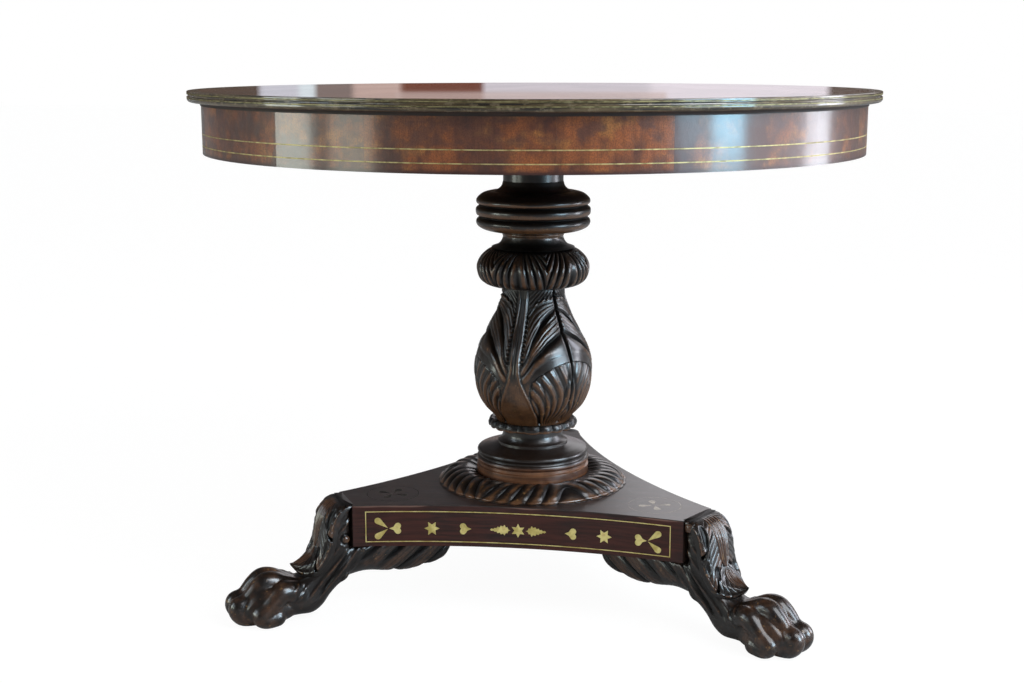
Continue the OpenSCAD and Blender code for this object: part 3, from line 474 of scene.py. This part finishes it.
def cheek_carving(r, y, z, scroll):
    """Strokes and scroll on the cheeks of the knee and shank, and flutes on the bracket,
    in millimetres"""
    eye_r, eye_z, eye_size = scroll
    cheek = np.clip((np.abs(y) - 22) / 6, 0, 1) * (r < 372)
    cheek = np.maximum(cheek, np.clip((250 - r) / 20, 0, 1)) * np.clip((z - 30) / 16, 0, 1)
    across = r * 0.76 + z * 0.65
    strokes = -2.3 * groove(across / 13, 0.2) - 1.1 * groove(across / 4.33 + 0.5, 0.36)
    strokes = strokes + 1.2 * np.sin(2 * pi * (across / 13 + 0.15)) + 0.2
    away = np.hypot(r - eye_r, z - eye_z)
    rings = -1.4 * groove((away - eye_size) / 7.5, 0.25) + 0.5
    around = bell(away, eye_size * 3.0)
    strokes = strokes * (1 - around) + rings * around
    knob = (2.6 * np.sqrt(np.clip(1 - (away / eye_size) ** 2, 0, 1))
            - 2.2 * bell(away - eye_size - 1.3, 1.5))
    bracket = np.clip((leg_face - 6 - r) / 12, 0, 1)
    slant = r * 0.62 + z * 0.78
    flute = slant / 27 + 0.35
    flutes = (-3.0 * groove(flute, 0.2) + 1.2 * np.sin(pi * (flute % 1))
              - 0.8 * groove(slant / 6.75, 0.3))
    seam = 2.4 * bell((r - 289) * 0.83 + (z - 104) * 0.56, 1.6) * (z < 108)
    return cheek * (strokes * (1 - bracket) + bracket * flutes - seam) + knob * (np.abs(y) > 24)


# The leaf is a skin of its own over the knee: rows of [front r, front z, edge r, edge z,
# half width, thickness] down to the point of its tip
leaf_rows = [[297, 166.6, 289, 166, 33, 6], [307, 164.6, 296, 163.5, 36, 9],
             [316, 158.5, 306, 155.5, 37.6, 10], [323.5, 148, 313, 144, 38.2, 10],
             [328, 134, 316.5, 131, 38.2, 10], [330.5, 120, 318.5, 117, 38, 10],
             [333, 107, 321.5, 104, 37.2, 10], [336.5, 97.5, 328, 91.5, 36, 10],
             [341.5, 90, 335, 79.5, 33, 9], [348.5, 84.5, 342.5, 71, 27.5, 7],
             [356, 81, 351, 66.5, 19, 5], [364, 79.3, 361, 69, 9.5, 3.5], [371, 80, 370, 78, 1, 1]]

# How the leaf bows from its front line to its edge: rows of [share of the half width,
# share of the way from edge to front]
leaf_bow = [[0, 1], [0.27, 0.995], [0.53, 0.97], [0.77, 0.86], [0.92, 0.62], [0.985, 0.33], [1, 0]]


def leaf_carving(v, s):
    """Height of the leaf's ribs: v runs -1 to 1 across it and s from its top to its tip"""
    q = np.abs(v)
    sweep = np.interp(q, [0, 0.05, 0.15, 0.27, 0.45, 0.67, 0.85, 1],
                      [0, 0.09, 0.17, 0.22, 0.285, 0.36, 0.39, 0.4])
    lobe_length = 0.33
    lobe = (s - sweep + lobe_length) / lobe_length
    part = lobe % 1
    ribs = -0.9 * groove(lobe * 5, 0.32) + 0.35
    body = 1.9 * part ** 1.6 - 0.7 - 2.6 * bell(np.minimum(part, 1 - part) * 43, 1.6) + ribs
    wide = np.interp(s, [0, 0.25, 0.45, 0.54, 0.62, 0.75, 0.9, 1],
                     [0.26, 0.3, 0.2, 0.1, 0.2, 0.28, 0.3, 0.4])
    inner = np.clip((wide - q) / 0.05, 0, 1)
    bundle = 1.3 + 0.85 * np.cos(2 * pi * 3 * q / np.maximum(wide, 0.05)) - 1.2 * bell(q - wide, 0.03)
    leaf = body * (1 - inner) + bundle * inner
    for place_q, place_s, half_q, half_s, deep in [  # the drilled eyes between the lobes
            (0.6, 0.235, 0.12, 0.105, 4.2), (0.4, 0.575, 0.1, 0.07, 3.2), (0.72, 0.5, 0.1, 0.06, 1.6)]:
        e = np.hypot((q - place_q - 0.5 * (s - place_s)) / half_q, (s - place_s) / half_s)
        near = np.clip(1.7 - e, 0, 1)
        leaf = leaf * (1 - near) - deep * np.exp(-e ** 4) + 1.3 * bell(e - 1.35, 0.28) * near
    rim = 1.3 * bell(q - 0.94, 0.05)
    notch = 3.4 * np.clip((q - 0.72) / 0.2, 0, 1) * (bell(s - 0.395, 0.016) + bell(s - 0.715, 0.016))
    fade = np.clip((1 - s) / 0.16, 0, 1) * np.clip(s / 0.04, 0.3, 1)
    return (leaf + rim) * fade - notch


def leaf_place(turn, rise):
    s = np.clip(rise * 1.02 - 0.01, 0, 1)
    row = smooth_rows(leaf_rows, s * (len(leaf_rows) - 1))
    front = turn <= 270
    v = np.where(front, turn / 135 - 1, 1 - (turn - 270) / 45)
    bow = smooth_rows(leaf_bow, np.abs(v) * 6)
    deep = np.where(front, bow[:, 1], 0)
    cap = (rise > 0) * (rise < 1)
    y = np.sign(v) * bow[:, 0] * row[:, 4] * cap
    middle = 0.5 * (row[:, :2] + row[:, 2:4])
    inward = -np.column_stack([np.cos(0.45 * s * pi), np.sin(0.45 * s * pi)])
    edge = row[:, 2:4] + (row[:, :2] - row[:, 2:4]) * deep[:, None]
    back = np.where(front, 0, row[:, 5] * np.clip((1 - np.abs(v)) / 0.2, 0, 1) * 0.8)
    rz = edge + inward * back[:, None]
    rz = np.where(cap[:, None] > 0, rz, middle)
    cut = np.where(front, leaf_carving(v, s), 0) * cap
    out = np.column_stack([rz[:, 0] - middle[:, 0] + 12, y * 0.45,
                           rz[:, 1] - middle[:, 1] + 10 * (s - 0.1)])
    out = out / np.linalg.norm(out, axis=1)[:, None]
    points = np.column_stack([rz[:, 0], y, rz[:, 1]]) + out * cut[:, None]
    # Painted shade: the leaf's top, where it meets the platform, is painted black
    painted_shade_at_leaf_top = 1.5 * np.clip(1 - s / 0.06, 0, 1)
    return points, cut / 2 - painted_shade_at_leaf_top


leaf = wrap("knee_leaf", 300, 240, leaf_place)


def carved_paint(dark, wear_and_painted_light):
    """Dark polished wood: black in the cuts as painted shade, and brown where hands and
    dusters rub it and where a piece's cut value carries painted light
    """
    def paint(grain, place):
        cut = grain.node("Attribute", {"attribute_name": "cut"}, out="Fac")
        mottle = place.noise(45, 5, 0.6)
        fibres = place.stretch(260, 260, 14).noise(2.5, 3)
        # rubbed: brown on worn crests, and brown or dark where the cut value carries painted light
        rubbed = (cut * 0.7 + mottle * 1.3 - 0.7).step(0.0, 0.5)
        speck = place.noise(110, 4, 0.6).step(0.62, 0.7) * cut.step(-0.2, 0.4)
        wood = rubbed.blend(dark, wear_and_painted_light)
        wood = (speck * 0.6).blend(wood, tone(138, 102, 62))
        wood = (fibres.step(0.5, 0.66) * 0.35).blend(wood, dark)
        # Painted shade: near black in the cuts and wherever the cut value is painted dark
        wood = (1 - cut.step(-0.9, -0.1)).blend(wood, tone(9, 6, 5))
        return {"Base Color": wood, "Roughness": mottle * 0.3 + 0.3, "Specular IOR Level": 0.25,
                "Coat Weight": cut.step(-1.2, 0) * 0.9, "Coat Roughness": 0.2,
                "Normal": (mottle * 0.7 + fibres * 0.3).bump(0.45, 0.0007)}
    return paint


# Each leg's turn, and its scroll's [distance out, height, radius]
legs = []
for name, turn, scroll in [("leg_back", 90, (294.5, 157, 7)), ("leg_left", 210, (297, 117, 6)),
                           ("leg_right", 330, (294.5, 157, 7))]:
    for part, title in [(leg, "carved_"), (leaf, "leaf_of_")]:
        bpy.ops.object.select_all(action="DESELECT")
        part.select_set(True)
        bpy.context.view_layer.objects.active = part
        bpy.ops.object.duplicate()
        copy = bpy.context.object
        copy.name = copy.data.name = title + name
        if part is leg:
            points = points_of(copy)
            carved = cheek_carving(*(points * 1000).T, scroll)
            points += points_of(copy, "normal") * carved[:, None] * 0.001
            points[:, 2] = np.maximum(points[:, 2], 0)
            copy.data.vertices.foreach_set("co", points.ravel())
            # The cut value: the carving's depth, black in its cuts as painted shade, and browner on the
            # paw
            paw = np.clip((points[:, 0] - 0.365) / 0.02, 0, 1)
            wear_and_painted_light = carved / 2 + 0.3 * paw
            copy.data.attributes.new("cut", "FLOAT", "POINT").data.foreach_set("value", wear_and_painted_light)
        copy.data.transform(Matrix.Rotation(radians(turn), 4, "Z"))
        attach(copy, "pedestal")
        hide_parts(name)
        legs.append(copy)
bpy.data.objects.remove(leg)
bpy.data.objects.remove(leaf)
finish("paw_leg_wood", legs, carved_paint(tone(22, 14, 10), tone(80, 53, 36)))


def iron_paint(grain, place):
    rust = place.noise(220, 4)
    return {"Base Color": rust.step(0.4, 0.7).blend(tone(58, 54, 50), tone(84, 58, 44)),
            "Metallic": 0.8, "Roughness": rust * 0.3 + 0.4, "Normal": rust.bump(0.2, 0.0002)}


finish("old_iron", ["leg_screws", "bearer_screws"], iron_paint)

# Column
# Turned and carved rings of dark wood are threaded on the spigots of the shaft and
# the socle, and glued. From below: fluted leaf collar, socle, scalloped cuff, carved
# vase, gadrooned ring, plain neck, reeded collar and upper shaft.

# Where the cuff, the vase, the gadrooned ring and the middle neck start, and the turn
# of the midrib of the vase's front leaf
foot_z, vase_z, gadroon_z, neck_z = 246, 258, 457, 514
midrib = 259.5


def fluted_ring(name, rows, base, count, sweep, sharp, around, along, meet=262, lines=3, fan=0):
    """A ring of lobes with a cut between each two, which lean by sweep lobes and close up
    by fan towards upright lines, one of them at the turn meet. Its rows are [radius,
    height, depth of the cuts, droop of the lobes, wear and painted light], the last
    making the finish browner or darker, as wear and as painted shade and painted floor
    reflection by height"""
    def place(turn, rise):
        row = smooth_rows(rows, rise * (len(rows) - 1))
        r, z, depth, droop, wear_and_painted_light = row.T
        half, blunt = 180 / lines, 21 / lines
        away = np.hypot((turn - meet + 360 + half) % (2 * half) - half, blunt)
        phase = count * away / 360 / (1 - fan * rise ** 3) + sweep * rise ** 1.7
        lobe = np.abs(np.cos(pi * phase)) ** sharp
        r = r - depth * (1 - lobe)
        a = np.radians(turn)
        return (np.column_stack([r * np.cos(a), r * np.sin(a), z - droop * lobe + base]),
                (lobe - 0.75) * depth / 2 + wear_and_painted_light)
    piece = wrap(name, around, along, place)
    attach(piece, "pedestal")
    return piece


collar_rows = [[60.2, 0, 0, 0, 0], [133.5, 0, 1.5, 0, -0.4], [136.5, 2, 1.8, 0, 0.6],
               [134, 5, 3, 0, 0.2], [128, 11, 6.5, 0, -0.5], [117, 16.5, 7.5, 0, -0.5],
               [101, 18.5, 6.5, 0, -0.5], [86, 15, 4, 0, -0.8], [83.2, 13.5, 0.5, 0, -1],
               [60.2, 13.5, 0, 0, 0]]
leaf_collar = fluted_ring("carved_leaf_collar", collar_rows, platform_high, count=39, sweep=2.2,
                          sharp=0.6, around=624, along=90, meet=303)
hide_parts("leaf_collar")
cuff_rows = [[50.1, 6, 0, 0, -0.5], [57, 6, 0, 0, -0.5], [62.6, 5.4, 0.3, 2.2, 0.4],
             [64.4, 6, 0.6, 2.6, 1.1], [65.3, 7.6, 1.6, 2.2, 0.3], [65.6, 10.5, 3, 0.8, -0.7],
             [62.5, 14.6, 2.6, 0, -0.7], [56.5, 13.5, 0, 0, -0.6], [54.2, 11.7, 0, 0, -0.6],
             [50.1, 11, 0, 0, -0.5]]
leaf_cuff = fluted_ring("carved_leaf_cuff", cuff_rows, foot_z, count=21, sweep=0,
                        sharp=0.7, around=420, along=80)
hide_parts("leaf_cuff")
# The gadrooned ring's last column paints it dark towards the top as painted shade and brown below as
# painted floor reflection
gadroon_rows = [[20.1, 0, 0, 0, 0], [46, 0, 0.5, 0, -0.1], [66, 3.2, 2.2, 0, 0.05],
                [77, 11, 4.8, 0, 0.05], [81.8, 24, 6, 0, -0.1], [80.5, 36, 6, 0, -0.4],
                [72, 48, 4.8, 0, -0.7], [57, 56, 1.6, 0, -0.8], [20.1, 57, 0, 0, 0]]
gadroon_ring = fluted_ring("carved_gadroon_ring", gadroon_rows, gadroon_z, count=42, sweep=0.5,
                           sharp=0.6, around=630, along=110, lines=6, fan=0.75)
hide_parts("gadroon_ring")

# The plain rings, in rows of [radius, height, painted light]: a reeded collar, painted
# brown under each reed as painted floor reflection and dark above as painted shade, that
# flares up to the neck above it, and the middle neck, which flares down on the gadrooned
# ring, painted dark on its flare as painted shade and brown up the neck as painted floor
# reflection
neck_height = 22
reeds = [[20.1, 0, 0], [45, 0, -0.5], [58, 1.6, 0.1], [70, 4, 0.5], [79, 8.5, 0.9], [82.4, 14, 0.2],
         [81.5, 19, -1.2], [78.2, 22, -1.6], [78.2, 23.6, -1.2], [81.6, 25.6, 0.9], [83, 30, 0.5],
         [82.4, 35, -0.9], [78.4, 38.8, -1.6], [78.2, 40.2, -1.2], [81.4, 42.2, 0.9], [82.3, 46, 0.0],
         [80, 50.5, -1.0], [73, 56, -1.1], [63.5, 58.6, -1.3], [57, 59, -1.2], [54, 60, -1.2],
         [49, 63, -1.2], [45.6, 67, -1.2], [43.7, 73, -1.2], [43.2, 73.2, -1.2], [43.2, 62, -1.2],
         [20.1, 60, 0]]
turned_collar = fluted_ring("turned_reeded_collar", [[r, z, 0, 0, wear_and_painted_light] for r, z, wear_and_painted_light in reeds],
                            neck_z + neck_height, count=0, sweep=0, sharp=1, around=160, along=240)
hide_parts("reeded_collar")
throat_line = [[20.1, 0, 0], [57.5, 0, -1], [57.2, 1.6, -1.2], [52, 3.6, -1.2], [47.4, 7.4, -1],
               [44.8, 12, -0.4], [43.8, 16, 0.3], [43.6, 21.8, 0.5], [20.1, 21.8, 0]]
throat = fluted_ring("turned_middle_neck", [[r, z, 0, 0, wear_and_painted_light] for r, z, wear_and_painted_light in throat_line],
                     neck_z, count=0, sweep=0, sharp=1, around=128, along=90)
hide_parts("middle_neck")

# The vase's outline: shares of its height and of its widest radius
vase_curve = [[0, 0.62], [0.04, 0.66], [0.13, 0.85], [0.24, 0.96], [0.36, 1], [0.46, 0.985],
              [0.56, 0.92], [0.68, 0.775], [0.8, 0.635], [0.92, 0.53], [1, 0.52]]
vase_line = smooth_rows(vase_curve, np.linspace(0, len(vase_curve) - 1, 400))
widest = 85.8


def vase_radius(z):
    return widest * np.interp((z - vase_z) / (gadroon_z - vase_z), vase_line[:, 0], vase_line[:, 1])


def vase_carving(turn, z):
    """Height of the leaves over the plain vase, in millimetres, and the colour shift that
    paints it dark near the top as painted shade and brown towards the foot as painted
    floor reflection, a little browner on the small leaf
    """
    t = (turn - midrib + 660) % 120 - 60
    d = np.abs(t)
    r = vase_radius(z)
    per_degree = 0.01745
    arc = r * per_degree
    tulip = np.interp(z, [258, 274, 300, 315, 330, 345, 365, 400, 457],
                      [24, 22, 14.5, 9.5, 5.5, 3.6, 3.6, 5.2, 7])
    inside = np.clip((tulip - d) * arc / 1.5 + 0.5, 0, 1)
    fillet = 1.9 * bell((d - tulip) * arc, 1.3) - 1.0 * bell((d - tulip) * arc - 3.4, 1.3)
    stem = inside * np.clip((z - 335) / 15, 0, 1) * (0.7 * np.cos(2 * pi * t / 2.9) - 0.2)
    hole = np.interp(z, [350, 375, 425], [7.4, 8, 10.5])
    beads = (z > 352) * (z < 424) * bell(d - hole, 1.3) * (1.9 * np.cos(2 * pi * z / 6.2) - 1.1)

    # Edges of the big lobes: the smooth band, two deep slashes and the arc under the neck
    edges = [np.interp(d, *row) for row in [
        ([6, 12, 15, 20.7, 32.6, 53.6, 60], [322, 326, 331, 345, 357, 365, 366]),
        ([6, 12, 20.7, 35, 56, 60], [334, 345, 364, 381, 395, 397]),
        ([6, 12, 18, 30, 43, 60], [346, 362, 386, 408, 420, 430]),
        ([6, 12, 22, 38, 57, 60], [400, 420, 434, 441, 443, 443])]]
    band, low, high, arch = edges
    q = np.clip((z - low) / (high - low), 0, 1)
    second = (z > low) * (z < high) * (
        1.8 * np.sin(pi * q) ** 0.7 + 0.6 * np.cos(2 * pi * 4.5 * q)
        - 0.8 * groove(q * 4.5, 0.22) - 0.3 * groove(q * 9 + d / 40, 0.3))
    q = np.clip((z - high) / (arch - high), 0, 1)
    third = (z > high) * (z < arch) * (
        1.5 * np.sin(pi * q) ** 0.7 + 0.6 * np.cos(2 * pi * 4.5 * q + d / 9)
        - 0.8 * groove(q * 4.5 + d / 57, 0.22) - 0.3 * groove(q * 9 + 0.3, 0.3))
    q = np.clip((z - band - 3) / np.maximum(low - band - 3, 1), 0, 1)
    first = (z > band + 3) * (z < low) * 1.4 * np.sin(pi * q) ** 0.8
    neck = (z > arch) * (0.75 * np.cos(2 * pi * (z - 0.9 * d) / 6.5) + 0.4)
    slash = (-4.4 * bell(z - low, 3.4) * bell(d - 36, 19) - 4.6 * bell(z - high, 3.8) * bell(d - 30, 15)
             - 1.3 * bell(z - low, 1.2) - 1.3 * bell(z - high, 1.2) + 1.3 * bell(z - arch - 1, 1.8)
             - 1.4 * bell(z - arch - 4.5, 1.5))

    # The small leaf between two big ones, its feathered ribs and its outline
    gap = 60 - d
    half = np.interp(z, [258, 270, 285, 300, 315, 330, 340, 348, 354, 357],
                     [30, 34, 40, 44, 45, 43, 35, 25, 12, 0])
    small = np.clip((half - gap) * arc / 2 + 0.5, 0, 1) * (z < 357)
    fan = np.degrees(np.arctan2((gap - 17) * arc, z - foot_z))
    bent = fan + 9 * np.sin((z - vase_z) / 22)
    feather = 0.9 * np.cos(2 * pi * bent / 11) - 0.75 * groove(bent / 3.67 + 0.4, 0.4) + 0.3
    feather = feather - 2.6 * bell((fan + 13) * (z - foot_z) * per_degree, 2.2) * bell(z - 322, 20)
    feather = feather - 1.8 * bell((fan - 16) * (z - foot_z) * per_degree, 1.6) * bell(z - 318, 18)
    feather = feather - 1.1 * bell(gap * arc, 1.1)
    outline = -2.2 * bell((gap - half) * arc + 0.5, 1.3) * (z < 356)

    outer = (1 - inside) * (1 - small)
    big = np.clip((d - tulip) * arc / 4 - 0.6, 0, 1) * (first + second + third + neck + slash)

    # The drying crack, and the splits between the big leaves
    aside = (turn - midrib + 120) % 360 - 180 + 1.3 * np.sin(z / 19)
    crack = -5 * (np.abs(aside) < 9) * (z > 300) * bell(
        aside * arc, np.interp(z, [300, 345, 365, 420, 457], [0.9, 1.1, 2.0, 2.5, 2.0]))
    split = -1.3 * bell(gap * arc, 1.2) * (z > 357) + crack
    height = (inside * 0.3 + stem + (1 - small) * fillet + beads + outer * big
              + small * (feather - 0.6) + outline + split)
    fade = np.clip(np.minimum(z - vase_z, gadroon_z - z) / 6, 0, 1)
    # Painted light by height: dark near the neck as painted shade, brown towards the foot as painted
    # floor reflection
    wear_and_painted_light = np.interp(z, [258, 310, 345, 380, 457], [0.5, 0.42, 0.0, -0.6, -0.5])
    return fade * height, wear_and_painted_light + 0.25 * small


def vase_place(turn, rise):
    z = np.interp(rise, [0, 0.01, 0.03, 0.99, 1], [foot_z, foot_z, vase_z, gadroon_z, gadroon_z])
    height, wear_and_painted_light = vase_carving(turn, z)
    foot_radius = 50
    r = np.where(z < vase_z, foot_radius, vase_radius(z) + height) * (rise > 0) * (rise < 1)
    a = np.radians(turn)
    return np.column_stack([r * np.cos(a), r * np.sin(a), z]), height / 2 + wear_and_painted_light


vase = wrap("carved_leaf_vase", 400, 240, vase_place)
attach(vase, "pedestal")
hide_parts("carved_vase")
finish("carved_column_wood", [leaf_collar, leaf_cuff, gadroon_ring, vase, turned_collar, throat],
       carved_paint(tone(26, 17, 12), tone(96, 64, 40)))


def turned_paint(dark, light):
    def paint(grain, place):
        streaks = place.stretch(60, 60, 6).noise(1.2, 5)
        fibres = place.stretch(420, 420, 20).noise(2, 3)
        wood = streaks.step(0.4, 0.66).blend(dark, light)
        wood = (fibres.step(0.52, 0.66) * 0.45).blend(wood, dark)
        return {"Base Color": wood, "Roughness": streaks * 0.2 + 0.35, "Specular IOR Level": 0.25,
                "Coat Weight": streaks * 0.3 + 0.6, "Coat Roughness": 0.24,
                "Normal": (streaks + fibres * 0.4).bump(0.2, 0.0004)}
    return paint


finish("turned_column_wood", ["upper_shaft"], turned_paint(tone(14, 10, 9), tone(30, 19, 15)))


def socle_paint(grain, place):
    x, y, z = place.axes()
    rings = grain.place(x * 6, y * 6, z * 420).noise(1, 4)
    cloud = place.noise(30, 4)
    wood = rings.step(0.36, 0.64).blend(tone(76, 46, 30), tone(124, 82, 54))
    wood = (cloud.step(0.4, 0.62) * 0.55).blend(wood, tone(50, 29, 20))
    # Painted shade: near black above the drum's plain band, over the beads and dish that face up
    wood = (z + cloud * 0.004).step(0.2035, 0.2065).blend(wood, tone(28, 18, 13))
    return {"Base Color": wood, "Roughness": rings * 0.2 + 0.35, "Specular IOR Level": 0.3,
            "Coat Weight": cloud * 0.3 + 0.55, "Coat Roughness": 0.2, "Normal": rings.bump(0.2, 0.0004)}


finish("socle_mahogany", ["turned_socle"], socle_paint)

# Block, bearers and bolts
# The mahogany block is wedged on the column's tenon. It carries the top on two beech
# pins that turn in the bearers, and two brass bolts lock the top down to it.


def rail_paint(grain, place):
    rings = place.stretch(46, 3, 46).noise(2, 5)
    fibres = place.stretch(420, 16, 420).noise(2, 3)
    wood = rings.step(0.35, 0.65).blend(tone(84, 44, 28), tone(128, 72, 44))
    wood = (fibres.step(0.5, 0.66) * 0.5).blend(wood, tone(60, 32, 22))
    return {"Base Color": wood, "Roughness": fibres * 0.2 + 0.4, "Coat Weight": 0.15,
            "Coat Roughness": 0.3, "Normal": fibres.bump(0.3, 0.0003)}


finish("rail_mahogany", ["bearer_left", "bearer_right", "top_block"], rail_paint)


def pale_wood_paint(grain, place):
    fleck = place.stretch(160, 160, 160).noise(1.5, 4)
    return {"Base Color": fleck.step(0.4, 0.65).blend(tone(176, 136, 92), tone(206, 168, 122)),
            "Roughness": fleck * 0.2 + 0.5, "Normal": fleck.bump(0.2, 0.0003)}


finish("pale_blocks", ["glue_blocks", "tenon_wedges", "pivot_pins"], pale_wood_paint)
finish("bolt_brass", ["bolt_case_left", "bolt_case_right", "bolt_case_screws", "sliding_bolt_left",
                      "sliding_bolt_right", "keeper_plates", "keeper_screws"], brass_paint)

# Top
# Five boards of deal carry the figured mahogany face. The frieze below is built of
# curved blocks and veneered in leaves, and brass lines run round it and the edge.

finish("boards_of_deal", ["top_groundwork", "frieze_core"], deal_paint)


def flame_paint(grain, place):
    x, y, z = place.axes()
    mirrored = grain.maths("ABSOLUTE", x)
    here = grain.place(mirrored, y, z)
    bend = here.stretch(4, 1.5, 1).noise(2, 5, 0.6)
    flame = grain.maths("SINE", bend * 15 + mirrored * 22 + y * 13) * 0.5 + 0.5
    ripple = here.stretch(8, 34, 1).noise(2, 5, 0.65)
    fibres = place.stretch(380, 16, 380).noise(1.5, 3)
    wood = (flame * 0.5 + ripple * 0.7).step(0.15, 1).blend(tone(84, 40, 27), tone(150, 80, 46))
    wood = (fibres.step(0.46, 0.64) * 0.6).blend(wood, tone(62, 30, 22))
    return {"Base Color": wood, "Roughness": fibres * 0.15 + 0.25, "Coat Weight": flame * 0.05 + 0.93,
            "Coat Roughness": 0.02, "Normal": fibres.bump(0.05, 0.0001)}


finish("flame_veneer", ["top_veneer"], flame_paint)


def frieze_paint(grain, place):
    x, y, z = place.axes()
    frieze_radius, first_seam = 0.4635, radians(62)
    turn = grain.maths("ARCTAN2", y, x) * frieze_radius
    leaf = grain.maths("FLOOR", (turn / frieze_radius + first_seam) / (pi / 4))
    own = grain.place(turn + leaf * 3.7, leaf * 1.3, z)
    flame = own.stretch(11, 1, 5).noise(1.6, 3, 0.5)
    blotch = own.stretch(42, 1, 34).noise(1.2, 5, 0.6)
    smoke = own.stretch(26, 1, 30).noise(1.1, 4, 0.6)
    pepper = own.stretch(420, 1, 300).noise(1.5, 4, 0.7)
    shade = grain.maths("SINE", leaf * 2.0 + 1.2) * 0.06
    figure = flame * 0.55 + blotch * 0.45 - shade
    bars = own.stretch(150, 1, 14).noise(1.3, 4, 0.6)
    gold = own.stretch(16, 1, 26).noise(1.2, 3, 0.5).step(0.5, 0.62)
    wood = figure.step(0.4, 0.62).blend(tone(80, 44, 34), tone(154, 86, 44))
    wood = (gold * figure.step(0.4, 0.6) * 0.6).blend(wood, tone(184, 124, 60))
    wood = (smoke.step(0.46, 0.62) * 0.7).blend(wood, tone(80, 52, 46))
    wood = (bars.step(0.46, 0.64) * 0.3).blend(wood, tone(70, 40, 28))
    wood = (pepper.step(0.42, 0.6) * 0.5).blend(wood, tone(66, 40, 30))
    wood = (1 - z.step(0.655, 0.661)).blend(wood, tone(58, 30, 24))
    return {"Base Color": wood, "Roughness": pepper * 0.2 + 0.32, "Specular IOR Level": 0.35,
            "Coat Weight": smoke * 0.3 + 0.65, "Coat Roughness": 0.16,
            "Normal": (blotch + smoke * 0.6 + pepper * 0.25).bump(0.8, 0.0012)}


finish("frieze_veneer", ["frieze_veneer"], frieze_paint)


def moulding_paint(grain, place):
    x, y, z = place.axes()
    edge_radius = 0.48
    turn = grain.maths("ARCTAN2", y, x) * edge_radius
    here = grain.place(turn, grain.maths("SQRT", x * x + y * y), z)
    streaks = here.stretch(8, 400, 400).noise(1.5, 4)
    rub = here.stretch(60, 90, 90).noise(1.2, 5, 0.7)
    wood = streaks.step(0.38, 0.62).blend(tone(30, 23, 17), tone(98, 82, 54))
    wood = (rub.step(0.5, 0.62) * 0.6).blend(wood, tone(134, 118, 92))
    return {"Base Color": wood, "Roughness": rub * 0.3 + 0.25, "Specular IOR Level": 0.35,
            "Coat Weight": rub * -0.2 + 1.0, "Coat Roughness": 0.09,
            "Normal": (rub + streaks * 0.4).bump(0.7, 0.0008)}


finish("edge_wood", ["edge_moulding"], moulding_paint)
# Painted shade: the cove under the edge takes the dark stain so that it reads as a shadow line
finish("cove_painted_shade", ["cove_moulding"], stained_paint)


def dull_brass_paint(dark, bright):
    def paint(grain, place):
        stain = place.noise(90, 5, 0.65)
        return {"Base Color": stain.step(0.36, 0.62).blend(dark, bright), "Metallic": 0.5,
                "Roughness": stain * 0.3 + 0.35, "Normal": stain.bump(0.2, 0.0002)}
    return paint


finish("dull_brass", ["edge_brass_lines"], dull_brass_paint(tone(84, 78, 50), tone(146, 138, 96)))
finish("brass_lines", ["frieze_strings"], dull_brass_paint(tone(140, 126, 80), tone(206, 192, 132)))
